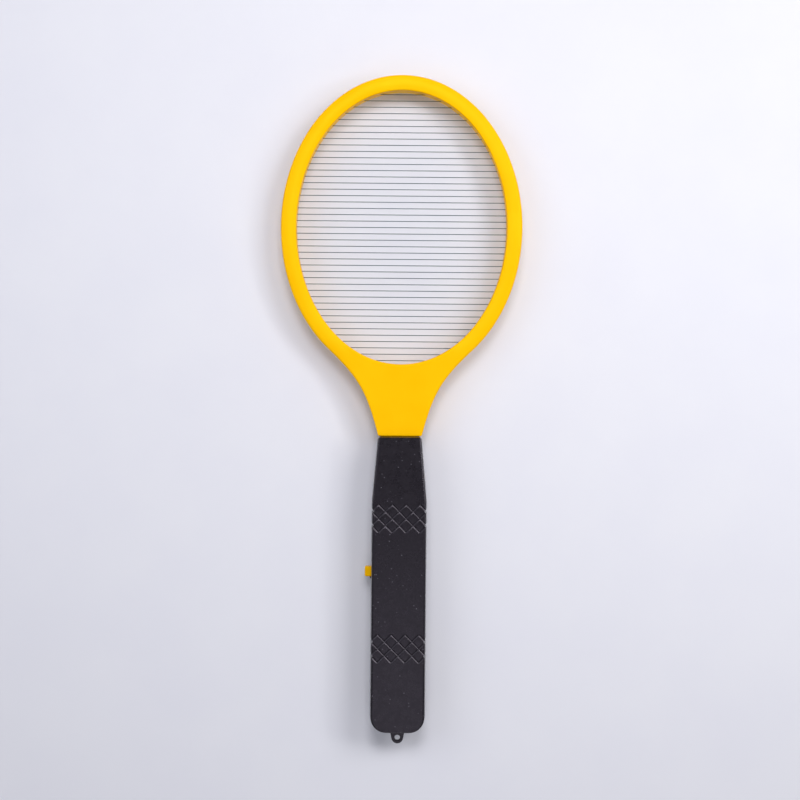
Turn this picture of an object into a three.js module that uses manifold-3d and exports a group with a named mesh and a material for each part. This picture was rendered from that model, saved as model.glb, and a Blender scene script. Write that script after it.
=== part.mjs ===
// Electric fly swatter: an oval head with a grid of parallel wires, and a two-cell handle.
// Millimetres. +X right, +Y towards the head's tip, +Z out of the front face, z = 0 at the handle's back.
import * as THREE from 'three';
import { mergeVertices } from 'three/addons/utils/BufferGeometryUtils.js';
import Module from 'manifold-3d';

const wasm = await Module();
wasm.setup();

// ---------------------------------------------------------------- driving dimensions

// Fits
const CLEARANCE = 0.3; // between pieces that touch, nest or slide
const PARTING_GAP = 0.3; // between the two halves of a housing

// Ring of the head
const RING_HALF_WIDTH = 79.85; // outer half axis across
const RING_HALF_LENGTH = 100.7; // outer half axis along
const RING_BAND = 10.3; // width of the ring's face
const HEAD_THICKNESS = 12;
const HEAD_FACE_WALL = 1.8;
const HEAD_SIDE_WALL = 1.4; // wall round the opening
const HEAD_RIM_WALL = 1.6; // wall round the outside
const HEAD_BEVEL = 1.5;

// Neck: a smooth curve from the ring down to the handle
const NECK_LENGTH = 37.2; // from the ring's lowest point to the handle
const NECK_END_HALF_WIDTH = 14.4;
const NECK_JOIN_DROP = 80.6; // below the ring's centre, where the curve leaves the ring
const NECK_PULL_RING = 27.7; // length of the curve's handle at the ring
const NECK_PULL_END = 30.4; // length of the curve's handle at the grip
const NECK_END_ANGLE = 14.7; // degrees from straight, at the grip
const NECK_END_CHAMFER = 1.2;
const SPIGOT_LENGTH = 14;
const SPIGOT_HALF_WIDTH = 10.5;
const SPIGOT_THICKNESS = 10;
const SPIGOT_CHANNEL_HALF_WIDTH = 3;
const SPIGOT_CHANNEL_HEIGHT = 6;

// Grid of wires, alternate wires joined to one strip or the other
const WIRE_COUNT = 43;
const WIRE_PITCH = 4.2;
const GRID_SHIFT = 0.25; // from the ring's middle up to the grid's
const WIRE_DIAMETER = 0.6;
const WIRE_END_BEYOND_WALL = 0.5;
const STRIP_OFFSET = 2.9; // from the opening's edge to the strip
const STRIP_WIDTH = 1.2;
const STRIP_THICKNESS = 0.7;
const STRIP_END_X = 20;
const STRIP_WELD_SHARE = 0.7; // how far across the strip its wires reach
const WALL_EDGE_GAP = 0.05; // the front half's wall is cut back this much past its outer edge

// Cells
const CELL_DIAMETER = 14.3;
const CELL_LENGTH = 50.5;
const CELL_NUB_DIAMETER = 5.4;
const CELL_NUB_HEIGHT = 1.2;
const CELL_FOOT_CHAMFER = 0.5;
const CELL_SHOULDER_CHAMFER = 0.6;
const CELL_GAP = 1; // between the two cells
const CELL_SIDE_CLEARANCE = 1.6; // cell to wall
const CELL_HEADROOM = 7.05; // over the cells, under the front wall
const CELL_UNDER_CLEARANCE = 0.55; // cell to battery cover
const BAY_END_GAP = 1.2; // behind the lower contact plate
const CELL_STAGGER = 1; // the right cell lies this much lower
const SPRING_LENGTH = 4.9; // pressed by the cell
const SPRING_RADIUS = 3.2;
const SPRING_WIRE_RADIUS = 0.4;
const SPRING_TURNS = 3.5;
const SPRING_STEPS_PER_TURN = 9;
const CONTACT_THICKNESS = 0.4;
const CONTACT_HALF_WIDTH = 3.1;
const CONTACT_HEIGHT = 9;

// Handle
const HANDLE_LENGTH = 194.4;
const HANDLE_TOP_WIDTH = 29;
const HANDLE_TAPER_LENGTH = 42.6;
const HANDLE_WALL = 1.8;
const HANDLE_TOP_RADIUS = 1.6;
const HANDLE_END_RADIUS = 10.5;
const HANDLE_BEVEL = 2.3; // width of the slanted edge round each face
const HANDLE_BEVEL_HEIGHT = 3;
const CAVITY_BEVEL = 1.2;
const LOOP_PROJECTION = 9.6;
const LOOP_ROOT_WIDTH = 10.6;
const LOOP_THICKNESS = 3.2;
const LOOP_END_RADIUS = 3.9;
const LOOP_HOLE_DIAMETER = 3.7;
const LOOP_SIDE_TURN = 0.15; // radians of the round end left off where the tapered sides meet it

// Grip bands: crossed grooves, two diamonds high
const BAND_PERIOD = 9.05; // from one diamond to the next, across
const BAND_HEIGHT = 18.4;
const UPPER_BAND_FROM_TOP = 44.4;
const LOWER_BAND_FROM_TOP = 129.8;
const GROOVE_WIDTH = 1.3;
const GROOVE_DEPTH = 0.6;
const NOTCH_WIDTH = 2.6; // where a groove runs round the side
const NOTCH_DEPTH = 1.3;
const NOTCH_SHARES = [0.25, 0.75]; // how far down the band the two notches sit

// Battery cover
const COVER_TONGUE = 1.2; // thickness of the flange that runs behind the opening's lips
const COVER_TONGUE_REACH = 1.6; // how far it reaches past the opening
const COVER_LIP_REACH = 2.2; // from the cavity's side wall to the cover's edge
const COVER_ABOVE_BAY = 2;
const COVER_PULL_PAST_END = 5; // the cover's cutting blocks reach this far past the handle
const COVER_GRIP_LINES = 3;
const COVER_GRIP_HALF_WIDTH = 5;
const COVER_GRIP_PITCH = 2.4;
const COVER_GRIP_BELOW_TOP = 5;
const LOWER_SCREW_ABOVE_COVER = 4.5; // from the cover's top edge to the bosses
const PARTITION_THICKNESS = 1.6;
const RIB_THICKNESS = 1.4;
const RIB_SHARES = [0.2, 0.8]; // how far up the cell the two cross ribs stand

// Push button and its switch
const BUTTON_ABOVE_BAY = 41.7; // from the battery bay up to the button's middle
const BUTTON_LENGTH = 6.7;
const BUTTON_HEIGHT = 6.4;
const BUTTON_PROJECTION = 4.2;
const BUTTON_TRAVEL = 1.5;
const BUTTON_FLANGE_THICKNESS = 1.2;
const BUTTON_FLANGE_REACH = 1.6;
const BUTTON_CORNER = 1;
const BUTTON_BEVEL = 0.6;
const BUTTON_STEM_RADIUS = 2;
const PLUNGER_REACH = 0.7; // out of the switch when it is fully pressed
const SWITCH_SIZE = 8;
const SWITCH_SETBACK = 7.8; // from the cavity's side wall to the switch
const PLUNGER_RADIUS = 1.5;
const GUARD_REACH = 1.2;
const GUARD_LENGTH = 2.2;

// Circuit board and its parts
const BOARD_THICKNESS = 1.6;
const BOARD_HEIGHT = 9.5; // of its underside over the handle's back
const BOARD_SIDE_CLEARANCE = 3.4;
const BOARD_END_CLEARANCE = 3;
const BOARD_POST_RADIUS = 2;
const BOARD_PIN_RADIUS = 1;
const BOARD_POST_INSET = 3.2;
const CORE_WIDTH = 16;
const CORE_DEPTH = 5;
const CORE_HEIGHT = 12;
const CORE_LEG = 2; // thickness of the core's outer legs and yokes
const CORE_CENTRE_LEG = 4;
const WINDING_BUILD = 3;
const CAPACITOR_SIZE = [17, 7.5, 11];
const CAPACITOR_BEVEL = 0.6;
const DISC_RADIUS = 3.6;
const DISC_THICKNESS = 2.6;
const DIODE_RADIUS = 1.3;
const DIODE_LENGTH = 5;
const RESISTOR_RADIUS = 1.15;
const RESISTOR_LENGTH = 6.2;
const LEG_RADIUS = 0.35;
const LEG_REACH = 1.4;
const LEG_STANDOFF = 0.8;
const TRANSISTOR_RADIUS = 2.3;
const TRANSISTOR_HEIGHT = 4.6;
const TRANSISTOR_STANDOFF = 2;
const TRANSISTOR_FROM_SWITCH = 3.4;
const TRANSISTOR_LEG = 0.5; // square
const TRANSISTOR_LEG_PITCH = 1.3;
const DIODE_PITCH = 4;
const DIODE_FROM_EDGE = 2.5; // from the board's edge to the first diode
const DISC_FROM_EDGE = [9, 4];
const DISC_LEG_Y = 2;
const RESISTOR_ABOVE_POST = 3.2;
const PARTS_ROW_SHARE = 0.2; // how far up the free board the diodes and discs stand
const TRANSFORMER_SHARE = 0.7;
const BOBBIN_WALL = 0.6;
const WINDING_GAP = 0.1; // between the winding and its bobbin
const ROUNDING = 1; // of the moulded corners

// Leads and screws
const LEAD_RADIUS = 0.75;
const LEAD_BOARD_X = 6.8; // where the high-voltage leads reach the board
const LEAD_NECK_X = 7; // half-way down the neck
const LEAD_BEND = 5; // length of the bends at the strip and at the spigot
const LEAD_ARCH = 2.4; // height of the bend over the board
const BATTERY_LEAD_X = 3;
const BATTERY_LEAD_RISE = 1.6;
const LARGE_SCREW = { headRadius: 2.6, headHeight: 1.8, shankRadius: 1.3, wall: 1.3 };
const BOSS_ROOT = 1.4; // how deep in the wall a boss starts, clear of the slanted edge outside
const SHANK_SINK = 0.2; // how far the shank runs into the head
const SMALL_SCREW = { headRadius: 1.75, headHeight: 1.1, shankRadius: 1.0, wall: 1.1 };
const HANDLE_SCREW_LENGTH = 12;
const HANDLE_SCREW_RECESS = 8; // from the back to the seat of the screw's head
const NECK_SCREW_LENGTH = 18.5;
const NECK_SCREW_RECESS = 4;
const RING_SCREW_LENGTH = 7;
const RING_SCREW_RECESS = 1.1;
const RING_SCREW_OFFSET = 6.8; // from the opening's edge
const RING_SCREW_ANGLES = [-25, 20, 65, 115, 160, 205]; // degrees round the ring
const ROOT_SCREW_X = 24;
const ROOT_SCREW_ABOVE_RING_EDGE = 5;
const TOP_SCREW_FROM_TOP = 25;
const NECK_SCREW_X = 6.9;
const NECK_SCREW_FROM_TOP = 7.5;

// Fineness of curves
const RING_STEPS = 44;
const CORNER_STEPS = 4;
const NECK_STEPS = 6;
const ROUND_STEPS = 10;
const LEG_STEPS = 5;

// ---------------------------------------------------------------- places worked out from them

const TOTAL_LENGTH = 2 * RING_HALF_LENGTH + NECK_LENGTH + HANDLE_LENGTH + LOOP_PROJECTION;
const TIP_Y = TOTAL_LENGTH / 2;
const RING_Y = TIP_Y - RING_HALF_LENGTH;
const HANDLE_TOP_Y = RING_Y - RING_HALF_LENGTH - NECK_LENGTH;
const HANDLE_END_Y = HANDLE_TOP_Y - HANDLE_LENGTH;
const SHOULDER_Y = HANDLE_TOP_Y - HANDLE_TAPER_LENGTH;
const OPENING_HALF_WIDTH = RING_HALF_WIDTH - RING_BAND;
const OPENING_HALF_LENGTH = RING_HALF_LENGTH - RING_BAND;

const CAVITY_HALF_WIDTH = CELL_DIAMETER + CELL_GAP / 2 + CELL_SIDE_CLEARANCE;
const HANDLE_HALF_WIDTH = CAVITY_HALF_WIDTH + HANDLE_WALL;
const TONGUE_TOP = HANDLE_WALL + CLEARANCE + COVER_TONGUE;
const CELL_Z = TONGUE_TOP + CELL_UNDER_CLEARANCE + CELL_DIAMETER / 2;
const HANDLE_THICKNESS = CELL_Z + CELL_DIAMETER / 2 + CELL_HEADROOM + HANDLE_WALL;
const MID_Z = HANDLE_THICKNESS / 2;
const REAR_TOP = MID_Z - PARTING_GAP / 2; // highest point of the rear halves
const FRONT_BOTTOM = MID_Z + PARTING_GAP / 2; // lowest point of the front halves
const HEAD_BACK = MID_Z - HEAD_THICKNESS / 2;
const HEAD_FRONT = MID_Z + HEAD_THICKNESS / 2;
const FRONT_WALL_Z = HANDLE_THICKNESS - HANDLE_WALL; // inner face of the handle's front wall

const CELL_X = (CELL_DIAMETER + CELL_GAP) / 2;
const CAVITY_END_Y = HANDLE_END_Y + HANDLE_WALL;
const BAY_END_Y = CAVITY_END_Y + BAY_END_GAP; // lower face of the lower contact plate
const LOWER_SPRING_Y = BAY_END_Y + CONTACT_THICKNESS;
const FIRST_CELL_Y = LOWER_SPRING_Y + SPRING_LENGTH; // lower end of the cell on the left
const SECOND_CELL_Y = FIRST_CELL_Y - CELL_STAGGER; // lower end of the cell on the right
const UPPER_SPRING_Y = SECOND_CELL_Y + CELL_LENGTH + SPRING_LENGTH;
const BAY_TOP_Y = UPPER_SPRING_Y + CONTACT_THICKNESS;
const COVER_TOP_Y = BAY_TOP_Y + COVER_ABOVE_BAY;

const LARGE_BOSS_RADIUS = bossRadius(LARGE_SCREW);
const BOSS_SINK = 0.5; // how far a boss runs into the wall beside it
const LOWER_SCREW_X = CAVITY_HALF_WIDTH - LARGE_BOSS_RADIUS + BOSS_SINK;
const LOWER_SCREW_Y = COVER_TOP_Y + LARGE_BOSS_RADIUS + LOWER_SCREW_ABOVE_COVER;
const TOP_SCREW_Y = HANDLE_TOP_Y - TOP_SCREW_FROM_TOP;
const TOP_SCREW_X = handleHalfWidthAt(TOP_SCREW_Y) - HANDLE_WALL - LARGE_BOSS_RADIUS + BOSS_SINK;
const NECK_SCREW_Y = HANDLE_TOP_Y - NECK_SCREW_FROM_TOP;

const BUTTON_Y = BAY_TOP_Y + BUTTON_ABOVE_BAY;
const BOARD_LOW_Y = LOWER_SCREW_Y + LARGE_BOSS_RADIUS + BOARD_END_CLEARANCE;
const BOARD_HIGH_Y = TOP_SCREW_Y - LARGE_BOSS_RADIUS - BOARD_END_CLEARANCE;
const BOARD_HALF_WIDTH = CAVITY_HALF_WIDTH - BOARD_SIDE_CLEARANCE;
const BOARD_TOP = BOARD_HEIGHT + BOARD_THICKNESS;
const SWITCH_X = -CAVITY_HALF_WIDTH + SWITCH_SETBACK; // outer face of the switch
const UPPER_BOARD_START = BUTTON_Y + SWITCH_SIZE / 2; // free board from here to the top

// ---------------------------------------------------------------- solids

function solidFrom(geometry) {
  const bare = geometry.clone();
  bare.deleteAttribute('normal');
  bare.deleteAttribute('uv');
  const merged = mergeVertices(bare, 1e-4);
  return new wasm.Manifold(new wasm.Mesh({
    numProp: 3,
    vertProperties: new Float32Array(merged.attributes.position.array),
    triVerts: new Uint32Array(merged.index.array),
  }));
}

function geometryFrom(solid) {
  const mesh = solid.getMesh();
  const geometry = new THREE.BufferGeometry();
  geometry.setAttribute('position', new THREE.BufferAttribute(mesh.vertProperties, 3));
  geometry.setIndex(new THREE.BufferAttribute(mesh.triVerts, 1));
  geometry.computeVertexNormals();
  return geometry;
}

// An outline and its holes, raised from low to high, with an optional slanted edge at both ends.
function slab(outline, low, high, holes = [], bevelSize = 0, bevelHeight = bevelSize) {
  const shape = new THREE.Shape(outline);
  shape.holes = holes.map((hole) => new THREE.Path(hole));
  const geometry = new THREE.ExtrudeGeometry(shape, {
    depth: high - low - 2 * bevelHeight,
    bevelEnabled: bevelSize > 0,
    bevelSize,
    bevelThickness: bevelHeight,
    bevelOffset: -bevelSize,
    bevelSegments: 1,
  });
  geometry.translate(0, 0, low + bevelHeight);
  return solidFrom(geometry);
}

function block(x0, x1, y0, y1, z0, z1) {
  const geometry = new THREE.BoxGeometry(x1 - x0, y1 - y0, z1 - z0);
  geometry.translate((x0 + x1) / 2, (y0 + y1) / 2, (z0 + z1) / 2);
  return solidFrom(geometry);
}

function upright(x, y, radius, low, high, steps = ROUND_STEPS) {
  const geometry = new THREE.CylinderGeometry(radius, radius, high - low, steps);
  geometry.rotateX(Math.PI / 2);
  geometry.translate(x, y, (low + high) / 2);
  return solidFrom(geometry);
}

// A rod between two points.
function rod(from, to, radius, steps = 6) {
  const start = new THREE.Vector3(...from);
  const along = new THREE.Vector3(...to).sub(start);
  const geometry = new THREE.CylinderGeometry(radius, radius, along.length(), steps);
  const turn = new THREE.Quaternion();
  turn.setFromUnitVectors(new THREE.Vector3(0, 1, 0), along.clone().normalize());
  geometry.applyQuaternion(turn);
  const middle = start.addScaledVector(along, 0.5);
  geometry.translate(middle.x, middle.y, middle.z);
  return solidFrom(geometry);
}

function round(radius, steps, x = 0, y = 0) {
  return ellipseArc(radius, radius, 0, 2 * Math.PI, steps, x, y).slice(0, -1);
}

function ellipseArc(halfWidth, halfLength, from, to, steps, x = 0, y = RING_Y) {
  const points = [];
  for (let i = 0; i <= steps; i += 1) {
    const angle = from + ((to - from) * i) / steps;
    points.push(new THREE.Vector2(x + halfWidth * Math.cos(angle), y + halfLength * Math.sin(angle)));
  }
  return points;
}

function tube(points, radius, steps, sides = 8) {
  const path = new THREE.CatmullRomCurve3(points.map((point) => new THREE.Vector3(...point)));
  const shape = new THREE.Shape(round(radius, sides));
  return solidFrom(new THREE.ExtrudeGeometry(shape, { steps, bevelEnabled: false, extrudePath: path }));
}

function piece(name, solid, color, roughness = 0.5, metalness = 0) {
  const material = new THREE.MeshStandardMaterial({ color, roughness, metalness });
  const mesh = new THREE.Mesh(geometryFrom(solid), material);
  mesh.name = name;
  return mesh;
}

const mirrored = (points) => points.map((point) => new THREE.Vector2(-point.x, point.y)).reverse();

// ---------------------------------------------------------------- outlines

// The opening's edge, moved outwards into the ring by an offset.
function openingEdge(offset, from = 0, to = 2 * Math.PI, steps = RING_STEPS) {
  return ellipseArc(OPENING_HALF_WIDTH + offset, OPENING_HALF_LENGTH + offset, from, to, steps);
}

// The neck's right edge from its lower end up to the ring, moved inwards by an inset.
function neckEdge(inset, endY) {
  const joinAngle = -Math.asin(NECK_JOIN_DROP / RING_HALF_LENGTH);
  const halfWidth = RING_HALF_WIDTH - inset;
  const halfLength = RING_HALF_LENGTH - inset;
  const join = new THREE.Vector2(halfWidth * Math.cos(joinAngle), RING_Y + halfLength * Math.sin(joinAngle));
  const along = new THREE.Vector2(halfWidth * Math.sin(joinAngle), -halfLength * Math.cos(joinAngle));
  const slant = THREE.MathUtils.degToRad(NECK_END_ANGLE);
  const end = new THREE.Vector2(NECK_END_HALF_WIDTH - inset, endY);
  const curve = new THREE.CubicBezierCurve(
    end,
    new THREE.Vector2(end.x + NECK_PULL_END * Math.sin(slant), end.y + NECK_PULL_END * Math.cos(slant)),
    join.clone().addScaledVector(along.normalize(), NECK_PULL_RING),
    join,
  );
  const [first, second, ...rest] = curve.getPoints(NECK_STEPS);
  const cornered = first.clone().lerp(second, NECK_END_CHAMFER / first.distanceTo(second));
  const start = new THREE.Vector2(first.x - NECK_END_CHAMFER, first.y);
  return { points: [start, cornered, second, ...rest], joinAngle, halfWidth, halfLength };
}

function headOutline(inset, endY) {
  const { points, joinAngle, halfWidth, halfLength } = neckEdge(inset, endY);
  const ring = ellipseArc(halfWidth, halfLength, joinAngle, Math.PI - joinAngle, RING_STEPS);
  return [...points.slice(0, -1), ...ring.slice(0, -1), ...mirrored(points)];
}

function handleHalfWidthAt(y) {
  const share = Math.min(1, (HANDLE_TOP_Y - y) / HANDLE_TAPER_LENGTH);
  return THREE.MathUtils.lerp(HANDLE_TOP_WIDTH / 2, HANDLE_HALF_WIDTH, share);
}

function handleOutline(inset) {
  const top = HANDLE_TOP_Y - CLEARANCE - inset;
  const end = HANDLE_END_Y + inset;
  const topHalf = HANDLE_TOP_WIDTH / 2 - inset;
  const half = HANDLE_HALF_WIDTH - inset;
  const endRadius = HANDLE_END_RADIUS - inset;
  const topRadius = HANDLE_TOP_RADIUS;
  const quarter = Math.PI / 2;
  const right = [
    ...ellipseArc(endRadius, endRadius, -quarter, 0, CORNER_STEPS, half - endRadius, end + endRadius),
    new THREE.Vector2(half, SHOULDER_Y),
    ...ellipseArc(topRadius, topRadius, 0, quarter, 1, topHalf - topRadius, top - topRadius),
  ];
  return [...right, ...mirrored(right)];
}

// ---------------------------------------------------------------- screws and their bosses

function screw(name, x, y, seat, length, size) {
  const shank = upright(x, y, size.shankRadius, seat - SHANK_SINK, seat + length, 6);
  const head = upright(x, y, size.headRadius, seat - size.headHeight, seat, 8);
  return piece(name, head.add(shank), 0x9a9da2, 0.35, 0.9);
}

function bossRadius(size) {
  return size.headRadius + CLEARANCE + size.wall;
}

// Rear boss: a post with a recess for the head and a hole for the shank.
function addRearBoss(shell, x, y, size, back, seat, high, radius = bossRadius(size)) {
  const recess = upright(x, y, size.headRadius + CLEARANCE, back - 1, seat + CLEARANCE);
  const bore = upright(x, y, size.shankRadius + CLEARANCE, back - 1, high + 1, 8);
  return shell.add(upright(x, y, radius, back + BOSS_ROOT, high)).subtract(recess).subtract(bore);
}

// Front boss: a post with a blind hole, open at the parting plane.
function addFrontBoss(shell, x, y, size, low, front, tip) {
  const radius = size.shankRadius + CLEARANCE + size.wall;
  const bore = upright(x, y, size.shankRadius + CLEARANCE, low - 1, tip + CLEARANCE, 8);
  return shell.add(upright(x, y, radius, low, front - BOSS_ROOT)).subtract(bore);
}

// ---------------------------------------------------------------- head

function wireY(index) {
  return RING_Y + GRID_SHIFT + (index - (WIRE_COUNT - 1) / 2) * WIRE_PITCH;
}

// Half the opening's width at a height, with its edge moved outwards by an offset.
function openingHalfWidthAt(y, offset) {
  const share = (y - RING_Y) / (OPENING_HALF_LENGTH + offset);
  return (OPENING_HALF_WIDTH + offset) * Math.sqrt(1 - share * share);
}

function headScrewPlaces() {
  const places = RING_SCREW_ANGLES.map((degrees) => {
    const angle = THREE.MathUtils.degToRad(degrees);
    const x = (OPENING_HALF_WIDTH + RING_SCREW_OFFSET) * Math.cos(angle);
    return [x, RING_Y + (OPENING_HALF_LENGTH + RING_SCREW_OFFSET) * Math.sin(angle)];
  });
  const rootY = RING_Y - RING_HALF_LENGTH + ROOT_SCREW_ABOVE_RING_EDGE;
  return [...places, [-ROOT_SCREW_X, rootY], [ROOT_SCREW_X, rootY]];
}

function neckScrewPlaces() {
  return [[-NECK_SCREW_X, NECK_SCREW_Y], [NECK_SCREW_X, NECK_SCREW_Y]];
}

function hollowHead() {
  const outline = headOutline(0, HANDLE_TOP_Y);
  const inside = headOutline(HEAD_RIM_WALL, HANDLE_TOP_Y + HEAD_RIM_WALL);
  const cavity = slab(inside, HEAD_BACK + HEAD_FACE_WALL, HEAD_FRONT - HEAD_FACE_WALL,
    [openingEdge(HEAD_SIDE_WALL)]);
  const spigotEnd = HANDLE_TOP_Y - SPIGOT_LENGTH;
  const spigot = block(-SPIGOT_HALF_WIDTH, SPIGOT_HALF_WIDTH, spigotEnd, HANDLE_TOP_Y + HEAD_RIM_WALL / 2,
    MID_Z - SPIGOT_THICKNESS / 2, MID_Z + SPIGOT_THICKNESS / 2);
  const channel = block(-SPIGOT_CHANNEL_HALF_WIDTH, SPIGOT_CHANNEL_HALF_WIDTH, spigotEnd - 1,
    HANDLE_TOP_Y + HEAD_RIM_WALL + 1, MID_Z - SPIGOT_CHANNEL_HEIGHT / 2, MID_Z + SPIGOT_CHANNEL_HEIGHT / 2);
  const bores = neckScrewPlaces().map(([x, y]) => (
    upright(x, y, LARGE_SCREW.shankRadius + CLEARANCE, 0, HANDLE_THICKNESS, 10)));
  return slab(outline, HEAD_BACK, HEAD_FRONT, [openingEdge(0)], HEAD_BEVEL)
    .subtract(cavity).add(spigot).subtract(channel).subtract(bores[0]).subtract(bores[1]);
}

function splitAtMiddle(solid) {
  const far = TOTAL_LENGTH;
  const rear = solid.intersect(block(-far, far, -far, far, -far, REAR_TOP));
  const front = solid.intersect(block(-far, far, -far, far, FRONT_BOTTOM, far));
  return { rear, front };
}

function headShells() {
  let { rear, front } = splitAtMiddle(hollowHead());
  for (const [x, y] of headScrewPlaces()) {
    const radius = SMALL_SCREW.shankRadius + CLEARANCE + SMALL_SCREW.wall;
    const seat = HEAD_BACK + RING_SCREW_RECESS;
    rear = addRearBoss(rear, x, y, SMALL_SCREW, HEAD_BACK, seat, REAR_TOP, radius);
    front = addFrontBoss(front, x, y, SMALL_SCREW, FRONT_BOTTOM, HEAD_FRONT, seat + RING_SCREW_LENGTH);
  }
  // The rear half holds each wire in a notch, and the front half's inner wall stops just above them.
  const notchHalf = WIRE_DIAMETER / 2 + CLEARANCE;
  for (let i = 0; i < WIRE_COUNT; i += 1) {
    const y = wireY(i);
    const reach = openingHalfWidthAt(y, HEAD_SIDE_WALL + WIRE_END_BEYOND_WALL + CLEARANCE);
    rear = rear.subtract(block(-reach, reach, y - notchHalf, y + notchHalf, MID_Z - notchHalf, MID_Z + 1));
  }
  front = front.subtract(slab(openingEdge(HEAD_SIDE_WALL + WALL_EDGE_GAP), MID_Z - 1, MID_Z + notchHalf,
    [openingEdge(-1)]));
  return [
    piece('head_front_shell', front, 0xfec91c, 0.42),
    piece('head_rear_shell', rear, 0xfec91c, 0.42),
  ];
}

// ---------------------------------------------------------------- grid

const stripEndAngle = Math.acos(STRIP_END_X / (OPENING_HALF_WIDTH + STRIP_OFFSET));

// Every second wire, joined to a flat strip inside one side of the ring. The far ends stay free of the
// other strip.
function comb(name, side, firstWire) {
  const outer = openingEdge(STRIP_OFFSET + STRIP_WIDTH, -stripEndAngle, stripEndAngle, RING_STEPS / 2);
  const inner = openingEdge(STRIP_OFFSET, -stripEndAngle, stripEndAngle, RING_STEPS / 2);
  const right = [...outer, ...inner.reverse()];
  const outline = side > 0 ? right : mirrored(right);
  let solid = slab(outline, MID_Z - STRIP_THICKNESS / 2, MID_Z + STRIP_THICKNESS / 2);
  for (let i = firstWire; i < WIRE_COUNT; i += 2) {
    const y = wireY(i);
    const joined = side * openingHalfWidthAt(y, STRIP_OFFSET + STRIP_WIDTH * STRIP_WELD_SHARE);
    const free = -side * openingHalfWidthAt(y, HEAD_SIDE_WALL + WIRE_END_BEYOND_WALL);
    solid = solid.add(rod([joined, y, MID_Z], [free, y, MID_Z], WIRE_DIAMETER / 2));
  }
  return piece(name, solid, 0x8f9896, 0.35, 0.9);
}

// ---------------------------------------------------------------- handle

// A V-shaped groove between two points of the face at z; outward is +1 on the front and -1 on the back.
function groove(from, to, z, outward) {
  const along = new THREE.Vector3(to[0] - from[0], to[1] - from[1], 0);
  const length = along.length();
  const up = new THREE.Vector3(0, 0, outward);
  const across = new THREE.Vector3().crossVectors(up, along.normalize());
  const shape = new THREE.Shape([
    new THREE.Vector2(-GROOVE_WIDTH, GROOVE_DEPTH),
    new THREE.Vector2(0, -GROOVE_DEPTH),
    new THREE.Vector2(GROOVE_WIDTH, GROOVE_DEPTH),
  ]);
  const geometry = new THREE.ExtrudeGeometry(shape, { depth: length, bevelEnabled: false });
  geometry.applyMatrix4(new THREE.Matrix4().makeBasis(across, up, along));
  geometry.translate(from[0], from[1], z);
  return solidFrom(geometry);
}

// The crossed grooves of one grip band, cut into one face.
function cutBand(shell, topY, z, outward) {
  const half = HANDLE_HALF_WIDTH;
  const count = Math.ceil(half / BAND_PERIOD) + 2;
  const slant = (2 * BAND_PERIOD) / BAND_HEIGHT; // across, for each millimetre down
  let cut = shell;
  for (let k = -count; k < count; k += 1) {
    const peak = (k + 0.5) * BAND_PERIOD;
    for (const lean of [-1, 1]) {
      const start = Math.max(0, (-lean * peak - half) / slant);
      const stop = Math.min(BAND_HEIGHT, (half - lean * peak) / slant);
      if (stop - start > GROOVE_WIDTH) {
        const from = [peak + lean * slant * start, topY - start];
        const to = [peak + lean * slant * stop, topY - stop];
        cut = cut.subtract(groove(from, to, z, outward));
      }
    }
  }
  return cut;
}

function bandTops() {
  return [HANDLE_TOP_Y - UPPER_BAND_FROM_TOP, HANDLE_TOP_Y - LOWER_BAND_FROM_TOP];
}

// The V notches where the grooves of both bands run round the handle's sides.
function cutSideNotches(solid) {
  let cut = solid;
  const half = HANDLE_HALF_WIDTH;
  for (const topY of bandTops()) {
    for (const share of NOTCH_SHARES) {
      const y = topY - share * BAND_HEIGHT;
      const right = [
        new THREE.Vector2(half - NOTCH_DEPTH, y),
        new THREE.Vector2(half + NOTCH_DEPTH, y - NOTCH_WIDTH),
        new THREE.Vector2(half + NOTCH_DEPTH, y + NOTCH_WIDTH),
      ];
      cut = cut.subtract(slab(right, -1, HANDLE_THICKNESS + 1));
      cut = cut.subtract(slab(mirrored(right), -1, HANDLE_THICKNESS + 1));
    }
  }
  return cut;
}

function hangingLoop() {
  const endY = HANDLE_END_Y - LOOP_PROJECTION + LOOP_END_RADIUS;
  const half = LOOP_ROOT_WIDTH / 2;
  const rootY = HANDLE_END_Y + HANDLE_WALL / 2;
  const bend = LOOP_SIDE_TURN;
  const end = ellipseArc(LOOP_END_RADIUS, LOOP_END_RADIUS, Math.PI + bend, 2 * Math.PI - bend, 10, 0, endY);
  const outline = [new THREE.Vector2(half, rootY), new THREE.Vector2(-half, rootY), ...end];
  const hole = round(LOOP_HOLE_DIAMETER / 2, ROUND_STEPS, 0, endY);
  return slab(outline, REAR_TOP - LOOP_THICKNESS, REAR_TOP, [hole]);
}

// A small rib that keeps the thumb from pushing the button sideways.
function buttonGuard() {
  const y = BUTTON_Y - BUTTON_LENGTH / 2 - CLEARANCE;
  const outline = [
    new THREE.Vector2(-HANDLE_HALF_WIDTH + CLEARANCE, y - GUARD_LENGTH),
    new THREE.Vector2(-HANDLE_HALF_WIDTH + CLEARANCE, y),
    new THREE.Vector2(-HANDLE_HALF_WIDTH - GUARD_REACH, y),
  ];
  return slab(outline, MID_Z - BUTTON_HEIGHT / 2, REAR_TOP);
}

function handleBody() {
  return slab(handleOutline(0), 0, HANDLE_THICKNESS, [], HANDLE_BEVEL, HANDLE_BEVEL_HEIGHT);
}

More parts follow.
